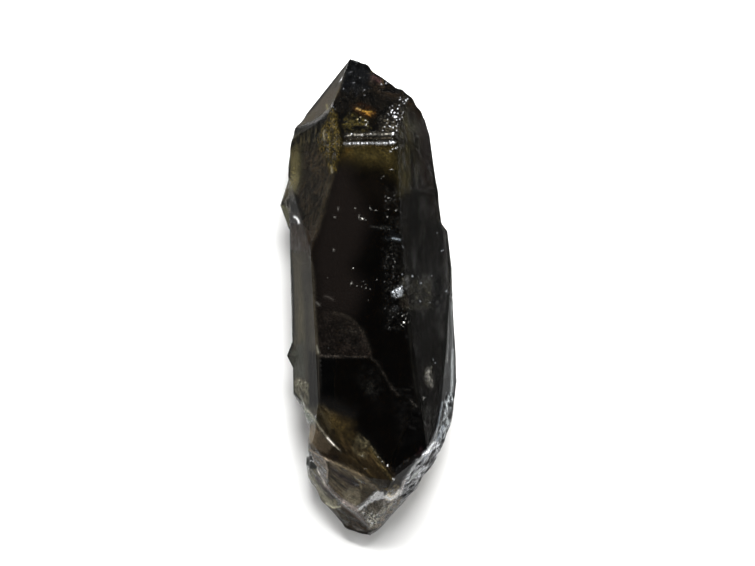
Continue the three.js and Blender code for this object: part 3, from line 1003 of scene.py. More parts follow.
def front_marks() -> list[Mark]:
    """The marks of the front face: painted olive glow, pits with painted glints, a chip whose pale and bluish edges are
    painted highlights, the veil and its edges.

    Returns:
        The marks, in the order in which they are laid.
    """
    glow = ((345, 147), (393, 147), (395, 165), (380, 162), (343, 158))
    shade = ((338, 160), (358, 160), (380, 174), (396, 190), (388, 204), (332, 204))
    veil = (
        (317, 310), (330, 311), (342, 314), (350, 319), (358, 325), (363, 333), (368, 342), (372, 352), (371, 356.6),
        (318.5, 357),
    )
    right_pits = ((386, 186), (401, 186), (402, 262), (398, 300), (400, 330), (386, 330), (382, 250))
    return [
        # Painted glow: olive light through the point, shown under the ledges.
        Patch(glow, 0.58, "#4c4322", 9, grain=2.4, threshold=-0.3, contrast=0.6, broken=0.2, thread=0.3, seed=50),
        Patch(((344, 147), (394, 147), (396, 178), (384, 172), (343, 164)), 0.3, "#463d1e", 10, grain=1.8,
            threshold=-0.2, contrast=0.6, thread=0.3, seed=57),
        Patch(shade, 0.2, "#1f170e", 14, grain=2.6, threshold=-0.3, contrast=0.6, broken=0.1, seed=51),
        Patch(((333, 170), (346, 164), (357, 192), (369, 222), (360, 250), (351, 266), (364, 290), (354, 314),
            (342, 318), (317, 308), (313, 252), (321, 214)), 0.88, "#110a06", 12, pattern=Pattern.PLAIN, broken=0),
        Patch(((345, 147), (352, 147), (352, 158), (343, 158)), 0.3, "#5a4318", grain=0.6, seed=52),
        Patch(right_pits, 0.24, "#2c2b27", grain=0.3, threshold=0.1, contrast=2.4, broken=0.85, thread=0.28, seed=53,
            fine=0.45),
        # Painted glints: pale specks on small pits that catch the light.
        Specks(((362.5, 219, 0.92, 0.95), (359, 217.2, 0.67, 0.2), (366, 220, 0.67, 0.24), (355, 208, 1.01, 0.26),
            (376, 210, 0.84, 0.26), (370, 208, 0.76, 0.24), (396, 210.6, 0.92, 0.3), (387.4, 216.6, 0.92, 0.3),
            (388, 198, 0.84, 0.26), (394, 195.6, 0.67, 0.16), (388.4, 209.6, 0.67, 0.21), (398.2, 218, 0.67, 0.21),
            (381, 178.4, 0.67, 0.26), (384, 176, 0.6, 0.17), (353.2, 268, 0.76, 0.9), (351.2, 283.2, 0.76, 0.3),
            (357, 286, 0.76, 0.26), (363.2, 281.4, 0.67, 0.2), (366, 288.2, 0.67, 0.24), (370, 289, 0.67, 0.26),
            (361.6, 286.8, 0.6, 0.26), (365.8, 284.2, 0.6, 0.21), (377, 279.6, 0.76, 0.26), (368.2, 300, 0.6, 0.13),
            (334.2, 217, 1.1, 0.16), (338, 209, 0.76, 0.14), (333.4, 249, 0.76, 0.24), (327.6, 277.6, 0.67, 0.12),
            (404, 322.6, 1.26, 1), (405.6, 319.4, 0.67, 0.6), (402.4, 316, 0.92, 0.52), (407, 314.2, 0.76, 0.3),
            (401.4, 325, 0.67, 0.3), (408, 323, 0.6, 0.26), (398, 314, 0.76, 0.21), (403, 326.4, 0.67, 0.43),
            (424.2, 398.2, 0.84, 0.95), (402.8, 309, 0.67, 0.17), (395.2, 262, 0.76, 0.17), (391, 254, 0.67, 0.17)),
            "#c9c8c2"),
        # Painted glints on shallow pits.
        Specks(scattered(right_pits, 46, (0.5, 0.9), (0.08, 0.28), 53), "#a9aaa8", lift=-0.03),
        # A chip beside a dark pit: the pale and bluish strokes are painted highlights on its edges.
        Stroke(((372, 226.6), (378, 227.2), (384, 228.2)), 0.8, 0.12, "#a3a6a2", gaps=0.6, bead=0.3, broken=0.6,
            seed=54),
        Stroke(((384, 226.6), (391, 227)), 0.8, 0.08, "#9aa09c", gaps=0.5, bead=0.3, broken=0.6, seed=54),
        Patch(((384, 227), (393, 227), (399, 236), (396, 241), (388, 237)), 0.7, "#030405", 2.4, grain=0.4, seed=56),
        Stroke(((394.4, 236.4), (398.6, 235.4)), 1.4, 1, "#020406", broken=0),
        Stroke(((392.4, 238.2), (396, 239), (400, 239.8)), 0.95, 0.46, "#a4adb4", broken=0.4),
        Stroke(((384, 238), (389.6, 239)), 1.1, 0.05, "#6f7a80", gaps=0.4, bead=0.35, seed=55),
        Stroke(((324.6, 296.4), (328, 296.7), (331, 298.4), (333, 299.8)), 0.9, 0.14, "#8a857e", gaps=0.3, bead=0.35,
            seed=61),
        Patch(veil, 0.32, "#2e2722", 1.6, grain=1, threshold=-0.3, contrast=0.8, broken=0.5, thread=0.3, seed=62),
        Patch(((338, 318), (352, 320), (362, 330), (366, 344), (352, 350), (342, 338)), 0.16, "#3c3a33", 4, grain=0.7,
            contrast=1.2, broken=0.6, seed=62),
        Stroke(((334, 312.6), (343, 314.4), (350, 318), (356, 323), (360, 328), (363, 335)), 1.6, 0.1, "#5f594e",
            gaps=0.5, bead=0.9, broken=0.4, seed=63),
        Stroke(((362, 330), (366, 340), (370, 350)), 2.2, 0.08, "#5c574d", gaps=0.4, bead=0.9, broken=0.4, seed=63),
        Stroke(((319, 355.6), (329, 356.3), (338, 356.4)), 1.3, 0.28, "#6a645d", gaps=0.3, bead=0.8, broken=0.4,
            seed=64),
        Stroke(((341, 355.8), (352, 357), (368, 356.8)), 1, 0.2, "#625c55", gaps=0.3, bead=0.8, broken=0.4, seed=64),
        Stroke(((370, 357), (376, 362), (382, 371), (387, 380), (392, 388), (398, 395)), 1.3, 0.17, "#57524a",
            gaps=0.45, bead=0.9, broken=0.4, seed=65),
        Stroke(((392, 389), (410, 389.6)), 0.9, 0.12, "#4a4844", gaps=0.4, bead=0.6, broken=0.5, seed=65),
        Patch(((364, 383), (372, 382), (374, 390), (366, 393)), 0.2, "#44443f", grain=0.4, broken=0.5, seed=66),
        Patch(((362, 366), (378, 370), (384, 392), (372, 400), (358, 384)), 0.12, "#33322e", 5, grain=0.6,
            contrast=1.6, broken=0.6, seed=66),
        Patch(((392, 384), (424, 384), (426, 432), (400, 444)), 0.13, "#2a2826", 6, grain=0.3, stretch=4,
            threshold=0.1, contrast=2, broken=0.6, seed=67),
        # Painted glint.
        Stroke(((411, 400.6), (413.6, 404), (416, 406.4)), 1.5, 0.12, "#6b6862", broken=0.5),
        Stroke(((421, 449), (419, 458)), 1.6, 0.3, "#3a2327"),
    ]


def right_marks() -> list[Mark]:
    """The marks of the right face: olive bands of painted glow and brown bands, the grainy cloud and its white flake
    with a painted highlight, painted glints, the lit flame.

    Returns:
        The marks, in the order in which they are laid.
    """
    cloud = (
        (401, 271), (404, 268), (407, 275), (414, 276), (424, 277), (431.6, 274), (432, 290), (431.6, 307),
        (420, 311), (405, 309), (400, 303),
    )
    face = (
        (401, 190), (437, 190), (440, 222), (446, 232), (448, 330), (444, 400), (432, 430), (424, 420), (412, 370),
        (408, 330), (402, 260),
    )
    return [
        Patch(face, 0.88, "#060503", 4, grain=1.2, stretch=3, turn=90, threshold=-0.3, contrast=0.7, broken=0.25,
            thread=0.3, seed=71),
        # Painted glow: olive bands where light through the point shows on the upper right face.
        Patch(((398, 128), (401, 116), (405, 110), (410, 118), (410, 190), (400, 196)), 0.6, "#3b3620", 6, stretch=5,
            turn=87, threshold=-0.15, contrast=1, broken=0.45, thread=0.25, seed=72),
        Patch(((411, 116), (418, 122), (421, 165), (415, 184), (411, 160)), 0.46, "#35321b", 5, stretch=5, turn=87,
            contrast=1, broken=0.35, seed=72),
        Patch(((405, 98), (413, 104), (421, 113), (428, 126), (433, 165), (430, 190), (421, 180), (417, 124),
            (408, 112)), 0.6, "#1d1510", 5, grain=0.8, stretch=3, turn=85, threshold=-0.2, contrast=0.8, seed=73),
        Patch(((424, 184), (437, 190), (440, 216), (432, 226), (421, 204)), 0.5, "#1a150f", 3.5, grain=0.9,
            contrast=0.7, seed=73),
        Stroke(((411, 122), (411, 150), (410.6, 180)), 1.3, 0.3, "#15130c", gaps=0.3, bead=1.5, broken=0.2, seed=74),
        Patch(((401, 190), (408, 190), (410, 270), (402, 266)), 0.15, "#302e28", grain=0.4, stretch=4, turn=90,
            broken=0.5, seed=74),
        Patch(((401, 260), (405, 260), (404.5, 272), (401.5, 270)), 0.8, "#080604", 1.2, grain=0.4, seed=75),
        Patch(cloud, 0.56, "#35332b", 2.2, grain=0.45, threshold=-0.05, rough=0.03, broken=0.65, thread=0.3, seed=57,
            fine=0.36),
        Patch(((400, 298), (408, 296), (410, 307), (401, 308)), 0.25, "#413730", 2, seed=58),
        Patch(((400, 284), (405, 278), (408, 275), (410, 284), (406, 291), (402, 287)), 0.6, "#575757", 1.8,
            grain=0.4, broken=0.5, seed=58),
        Patch(((391, 308), (396, 306), (399, 308), (395, 311)), 0.5, "#484a4c", 1.5, grain=0.3, broken=0.6, seed=58),
        # The white flake: a chip whose pale tone is a painted highlight; the specks below are painted glints.
        Patch(((391, 292.4), (395, 289), (399, 287), (402.4, 285), (403.4, 291), (402, 296), (396, 298),
            (392, 295.6)), 0.92, "#7d8083", 1.2, grain=0.26, threshold=-0.2, contrast=2, rough=0.08, broken=0.55,
            thread=0.2, seed=59, fine=0.17),
        Specks(((393.2, 291.8, 1.09, 0.95), (396.4, 290.2, 0.92, 0.69), (399.6, 288.8, 1.01, 0.9),
            (401.6, 287, 0.76, 0.69), (397.6, 293.2, 0.76, 0.43), (401.4, 292, 0.67, 0.43), (421, 283.4, 1.4, 0.22),
            (412, 276, 1.09, 0.34), (426.2, 287.2, 0.92, 0.14), (431.6, 276, 0.76, 0.34), (430.2, 303, 0.84, 0.12),
            (420.2, 301, 1.01, 0.26), (402.2, 274.2, 0.84, 0.24), (418.2, 276.2, 0.76, 0.21),
            (446.2, 291.2, 1.01, 0.34), (441.6, 251, 0.76, 0.34), (443.4, 250.2, 0.6, 0.34), (437.2, 233, 0.6, 0.26),
            (403, 247.6, 0.84, 0.21), (433.4, 360, 0.92, 0.14), (435.2, 363, 0.92, 0.3)), "#d5dae0"),
        Patch(((431.6, 272), (441, 274), (442, 306), (432, 310)), 0.93, "#040404", 1.6, seed=60),
        Stroke(((409, 326), (410.4, 342), (412, 362), (415, 384), (420, 410)), 1, 0.06, "#514f47", gaps=0.3, bead=1,
            broken=0.4, seed=69),
        Patch(((426, 367), (432, 366), (434, 386), (428, 387), (424, 378)), 0.74, "#5b584f", 1.8, grain=0.3,
            contrast=3, rough=0.05, broken=0.8, thread=0.25, seed=70, fine=0.24),
        Stroke(((428.8, 370), (427.6, 376), (430.6, 381), (432, 386)), 1.8, 0.62, "#8f8d87", gaps=0.5, bead=0.35,
            broken=0.7, seed=70),
        Patch(((425, 408), (437, 406), (436, 430), (428, 442), (425, 430)), 0.5, "#3f3f3c", 2, grain=0.4, stretch=3,
            turn=95, broken=0.5, seed=69),
        Stroke(RIGHT_OUTLINE, 1.6, 0.95, "#0a0907", broken=0.1),
    ]


def rim_marks() -> list[Mark]:
    """The marks of the fractured rim down the right: silver bands of frosted fracture with painted reflection, dark
    slits, bright threads of white fracture edges with painted highlights, and its rocky end with painted glints.

    Returns:
        The marks, in the order in which they are laid.
    """
    upper = (
        (449.6, 298), (452, 300), (454, 330), (455.6, 350), (456, 385), (454, 402), (447, 402), (448.4, 378),
        (449, 350), (450, 325),
    )
    middle = (
        (446, 392), (455, 392), (452, 415), (448.5, 430), (445, 441), (440, 450), (432, 449), (437, 436), (441, 420),
    )
    lower = (
        (434, 441), (444, 443), (440, 453), (433, 463), (427, 471), (419, 481), (412, 492), (404, 499), (399, 498),
        (401, 488), (404, 479), (410, 470), (417, 461), (426, 450),
    )
    return [
        Patch(((386, 490), (388, 480), (396, 471), (407, 462), (417, 455), (422, 452), (419, 459), (412, 468),
            (405, 478), (401.6, 487), (400, 494), (393, 489)), 0.97, "#070504", 1.2, pattern=Pattern.PLAIN,
            broken=0.1),
        Patch(((441, 380), (449, 378), (446, 400), (440, 420), (434, 440), (426, 450), (432, 430), (438, 408)), 0.97,
            "#0e0e0e", 2, pattern=Pattern.PLAIN, stretch=4, turn=105, broken=0.4, fine=0.3),
        Patch(upper, 0.97, "#111313", 1, pattern=Pattern.PLAIN, grain=0.3, stretch=6, turn=91, rough=0.05, satin=0.5,
            broken=0.25, thread=0.2, seed=76, fine=0.2),
        # Painted reflection: this silver layer and those of the middle and lower bands lie on frosted fracture.
        Patch(upper, 0.6, "#919696", 1, grain=0.24, stretch=6, turn=91, contrast=3, broken=0.4, thread=0.2, seed=176,
            fine=0.2),
        Patch(middle, 0.97, "#353739", 1.2, pattern=Pattern.PLAIN, grain=0.34, stretch=2.4, turn=106, rough=0.2,
            satin=0.5, broken=0.4, seed=77, fine=0.17),
        Patch(middle, 0.88, "#c8cdcf", 1.2, grain=0.28, stretch=2.6, turn=106, threshold=0.02, contrast=3.6,
            rough=0.06, broken=0.6, thread=0.2, seed=177, fine=0.17),
        Patch(lower, 0.97, "#313033", 1.2, pattern=Pattern.PLAIN, grain=0.36, stretch=2.6, turn=126, rough=0.22,
            satin=0.5, broken=0.4, seed=78, fine=0.17),
        Patch(lower, 0.9, "#dedfe2", 1.2, grain=0.3, stretch=2.6, turn=126, threshold=-0.03, contrast=3.6, rough=0.06,
            broken=0.6, thread=0.2, seed=178, fine=0.17),
        Stroke(((450.8, 302), (452, 318), (453, 336), (452.8, 350)), 0.8, 0.75, "#9ca0a0", gaps=0.3, bead=1,
            broken=0.3, seed=79),
        Stroke(((453.2, 312), (454.2, 345), (454.8, 385), (453.6, 402), (450.4, 417)), 1.5, 0.95, "#0c0c0c",
            broken=0.1),
        Stroke(((449.6, 300), (450.4, 330), (449.4, 352), (448.8, 380), (447, 398)), 1.5, 0.95, "#131313", gaps=0.2,
            bead=1, broken=0.1, seed=80),
        Stroke(((452.6, 350), (452.6, 372), (451.6, 396)), 1.2, 0.7, "#b2b6b7", gaps=0.35, bead=1, broken=0.5,
            seed=80),
        Stroke(((448.4, 296), (447.4, 320), (445.6, 350), (443, 380)), 2.8, 0.9, "#0b0b09", broken=0.1),
        Stroke(((447.4, 364), (446.6, 386), (443.4, 404)), 2, 0.94, "#070707", gaps=0.3, bead=1, broken=0.4, seed=81),
        Stroke(((449.6, 404), (449.6, 412), (449, 419)), 1.4, 0.9, "#0c0c0e", lift=-0.1, broken=0.1),
        Stroke(((444.6, 404), (442.4, 416), (440.6, 424)), 1.3, 0.95, "#09090a", lift=-0.08, broken=0.1),
        Stroke(((440.6, 424), (437.6, 434), (432, 444)), 0.8, 0.5, "#1d1d1f", lift=-0.06, broken=0.1),
        Stroke(((442.6, 402), (440, 416), (437.6, 428), (434, 439)), 0.8, 0.65, "#90969b", lift=0.03, gaps=0.4,
            bead=0.6, broken=0.4, seed=82),
        Stroke(((446.6, 408), (445.4, 416), (447.4, 419)), 0.9, 0.7, "#a4a6a7", lift=0.05, gaps=0.3, bead=0.35,
            seed=83),
        Stroke(((443.6, 426), (440.6, 434), (437, 440)), 1.1, 0.8, "#bfc7d0", lift=0.05, gaps=0.4, bead=0.4, seed=83),
        # White threads: frosted fracture edges with painted highlights.
        Stroke(((433.4, 443), (429, 450), (423, 457), (418, 462)), 1.1, 1, "#ffffff", lift=0.07, gaps=0.25,
            broken=0.3, seed=84),
        Stroke(((418, 461), (414, 467), (408, 475), (403.6, 483)), 1.5, 0.95, "#fcfeff", lift=0.06, gaps=0.35,
            broken=0.4, seed=84),
        Stroke(((438, 443), (432, 450.6), (426, 457.6), (421, 462)), 0.9, 0.3, "#201d1f", lift=-0.08, gaps=0.2,
            bead=0.6, broken=0.1, seed=85),
        Stroke(((432, 450), (427, 456), (421, 461.6)), 0.7, 0.8, "#d1d9e4", gaps=0.3, bead=0.35, seed=85),
        Stroke(((433.4, 454), (430, 459.6), (426, 465)), 1.6, 0.9, "#1c1313", lift=-0.1, gaps=0.25, bead=0.6,
            broken=0.1, seed=86),
        Stroke(((442.4, 440), (440, 447)), 1.2, 0.85, "#0f0f10", lift=-0.1, broken=0.1),
        Stroke(((437.4, 446.4), (439.6, 444)), 0.9, 0.95, "#eaeef1", lift=0.05),
        Stroke(((419, 470), (413, 477), (408, 482)), 1.2, 0.92, "#f6f9f7", lift=0.05, gaps=0.3, seed=88),
        Stroke(((404.6, 480), (402, 487), (400.6, 494)), 1.4, 0.95, "#e1dcd9", lift=0.05, gaps=0.3, broken=0.4,
            seed=88),
        Patch(((411, 480), (420, 475), (419, 483), (411, 494), (403, 499), (403, 491)), 0.75, "#b1b1b1", 1.5,
            grain=0.4, stretch=2, turn=126, contrast=3.4, broken=0.7, seed=89, fine=0.22),
        # Painted glints.
        Specks(((418.2, 476.2, 1.01, 0.95), (432.6, 444.8, 1.01, 0.95), (415, 476.8, 0.76, 0.6),
            (406, 483.4, 0.92, 0.6), (411.4, 478, 0.67, 0.52), (423.8, 462.4, 0.92, 0.52),
            (446.8, 418.6, 0.76, 0.69)), "#f4f6fc"),
        Stroke(((446.8, 433), (443, 445), (437, 456.6), (429, 467.6), (420.6, 478.4), (413, 489.6), (404.6, 498)), 1,
            0.9, "#100f0f", gaps=0.3, bead=0.8, broken=0.1, seed=90),
    ]


def break_marks() -> list[Mark]:
    """The marks of the broken end's upper part: the brown hollow, whose brown is painted glow of light through the thin
    end, its streaks, and the striped grey facets, whose grey is painted reflection of the floor over that glow.

    Returns:
        The marks, in the order in which they are laid.
    """
    brown = (
        (318, 404), (326, 409), (342, 415), (351, 420), (357, 428), (363, 437), (370, 446), (376, 455), (384, 466),
        (392, 476), (400, 481), (398, 487), (390, 489.5), (381, 489.5), (370, 483), (352, 474), (336, 465),
        (322, 458), (310, 450), (309, 440), (307.6, 424), (312, 421),
    )
    grey = (
        (327, 461), (338, 466), (352, 472), (362, 478), (376, 490), (371, 494), (366, 500), (360, 504), (352, 507),
        (345, 501), (335, 493), (328, 484), (328, 470),
    )
    upper_left = ((311, 451.5), (325, 459.5), (327.4, 468), (326.6, 478), (325.4, 486), (320, 477), (314, 466))
    return [
        # Painted glow: brown light through the thin end, here and in the next patch.
        Patch(brown, 0.7, "#3c3221", 2.6, grain=0.9, stretch=3.5, turn=48, threshold=-0.1, contrast=1.3, broken=0.4,
            thread=0.3, seed=91, fine=0.45),
        Patch(((321, 411), (340, 416), (353, 424), (354, 440), (338, 441), (325, 427)), 0.5, "#564a2d", 8, grain=1,
            threshold=-0.1, contrast=0.9, broken=0.35, seed=91),
        Patch(((312, 396), (336, 400), (356, 414), (352, 421), (338, 414), (324, 408), (314, 404)), 0.8, "#0c0a08", 7,
            pattern=Pattern.PLAIN, broken=0),
        Patch(((352, 438), (360, 434), (368, 442), (369, 456), (362, 460), (354, 452)), 0.5, "#746d56", grain=0.6,
            contrast=1, broken=0.5, seed=92),
        Patch(((309, 426), (314, 422), (322, 433), (332, 446), (327, 453), (312, 449.4), (308.6, 440)), 0.88,
            "#7d7261", 2.4, stretch=2, turn=60, threshold=-0.5, contrast=0.8, broken=0.15, seed=94),
        Patch(((320, 428), (328, 438), (336, 449), (328, 456), (319, 450)), 0.5, "#241a13", 8, pattern=Pattern.PLAIN,
            broken=0),
        Patch(((315, 436), (323, 434), (327, 452), (314, 451)), 0.42, "#221b14", 5, pattern=Pattern.PLAIN, broken=0),
        Patch(((326, 440), (342, 450), (362, 468), (384, 487), (366, 480), (344, 466), (322, 456)), 0.5, "#342b1c",
            2.6, grain=0.6, stretch=3, turn=42, contrast=1, seed=93),
        Stroke(((350, 456), (364, 468), (384, 485)), 1.6, 0.36, "#5a4d33", gaps=0.4, bead=0.9, broken=0.4, seed=93),
        Stroke(((370, 449), (379, 463), (392, 480)), 1.9, 0.6, "#685c3d", gaps=0.3, bead=0.9, broken=0.4, seed=95),
        Stroke(((366, 453), (376, 468), (388, 483)), 1.5, 0.5, "#3d3220", gaps=0.2, bead=0.9, broken=0.2, seed=95),
        Stroke(((362, 436), (371, 446), (378, 456), (384, 463)), 0.8, 0.24, "#958d74", lift=0.03, gaps=0.4,
            broken=0.5, seed=95),
        Stroke(((384, 463), (388.4, 468), (393.6, 475), (399, 482)), 0.8, 0.12, "#6d5f4c", lift=0.03, gaps=0.5,
            broken=0.5, seed=96),
        Patch(((303, 408), (308, 409), (317, 421), (314, 424), (309.4, 424), (305.4, 416)), 0.86, "#868b80", 1.3,
            grain=0.4, threshold=-0.3, contrast=0.9, seed=96),
        Patch(((312, 404), (324, 404), (332, 418), (330, 434), (322, 428), (316, 416)), 0.36, "#6f6650", 2.4,
            grain=0.4, stretch=4, turn=66, contrast=1.4, broken=0.4, seed=97, fine=0.36),
        Stroke(((304.4, 408.6), (310, 412.6), (315, 420), (320, 428), (327, 437)), 1.1, 0.62, "#a5a091", lift=0.03,
            gaps=0.35, broken=0.4, seed=97),
        Stroke(((327.4, 437.8), (331, 441.8), (334, 445)), 0.85, 1, "#fffaf0", lift=0.04, broken=0.1),
        Stroke(((334, 445), (336.6, 447.4), (339.6, 450)), 0.7, 0.34, "#fff9e5", lift=0.03, broken=0.1),
        Stroke(((309.6, 450), (317.5, 454.6), (326.5, 459.6), (335, 464)), 1.1, 0.85, "#b6a896", lift=0.03, gaps=0.25,
            bead=0.7, broken=0.4, seed=100),
        Stroke(((335, 464.6), (350, 471), (362, 477.6), (378, 489.4)), 2.5, 0.75, "#a3967e", lift=0.03, gaps=0.3,
            bead=1, broken=0.4, seed=101),
        # Painted reflection of the floor, over brown glow, on the grey facets.
        Patch(grey, 0.86, "#6c6049", 2, grain=0.7, stretch=4, turn=42, threshold=-0.25, contrast=2.6, broken=0.45,
            thread=0.24, seed=102, fine=0.36),
        Stroke(((330, 468), (342, 477), (353, 485)), 2.5, 0.8, "#30252a", gaps=0.3, bead=0.9, broken=0.3, seed=103),
        Stroke(((341, 475), (350, 479.6), (357.6, 483)), 2, 0.8, "#30252a", gaps=0.3, bead=0.9, broken=0.3, seed=103),
        Stroke(((331, 476), (340, 484), (348, 490)), 1.4, 0.8, "#0b0806", gaps=0.4, bead=0.9, broken=0.4, seed=103),
        Patch(((344, 493), (352, 488), (360, 492), (361, 500), (355, 507.6), (348, 501)), 0.9, "#b1a890", 4,
            grain=0.9, threshold=-0.2, contrast=0.7, broken=0.12, seed=105),
        Patch(((357, 486), (366, 488), (376.4, 490.4), (371, 494.4), (366.4, 500.4), (361, 503), (360, 494)), 0.86,
            "#514837", 1.4, grain=0.6, threshold=-0.4, contrast=0.8, broken=0.2, seed=104),
        Stroke(((355, 477), (360, 482), (361.4, 488)), 1, 0.62, "#d3c5a1", gaps=0.4, bead=0.35, seed=105),
        Patch(upper_left, 0.86, "#8f867b", 1.4, grain=0.4, stretch=3, turn=68, threshold=-0.15, contrast=2,
            broken=0.45, seed=107, fine=0.3),
        Stroke(((324.4, 460), (326.6, 465), (327.6, 471), (327, 478)), 0.9, 0.88, "#bfb4a5", lift=0.04, gaps=0.2,
            bead=0.6, broken=0.3, seed=106),
        Stroke(((328.4, 463), (329.8, 471), (329, 481), (326.6, 487)), 0.9, 0.62, "#3c3425", lift=-0.04, broken=0.2),
        Stroke(((314, 464), (319, 472), (322.4, 479), (325.8, 486)), 1.1, 0.92, "#e8e3dc", lift=0.03, gaps=0.3,
            broken=0.4, seed=108),
        Patch(((306.4, 458), (311, 455.6), (313.4, 463), (317.4, 467.4), (315.4, 470), (309, 468.6), (306, 464)),
            0.96, "#070707", 0.9, pattern=Pattern.PLAIN, lift=-0.18, broken=0, fine=0.2),
        # Painted glints, two in the black hole.
        Specks(((309.6, 461.2, 1.01, 1), (312.2, 462.2, 1.01, 1), (312.4, 458, 0.76, 0.6), (317.6, 467.4, 0.84, 0.6),
            (378, 457, 0.6, 0.4), (387.2, 466, 0.84, 0.69), (393.6, 479.4, 0.92, 0.9), (382, 461.4, 0.6, 0.34),
            (365, 468.4, 0.92, 0.14), (362.6, 456, 1.1, 0.12)), "#ffffff"),
    ]


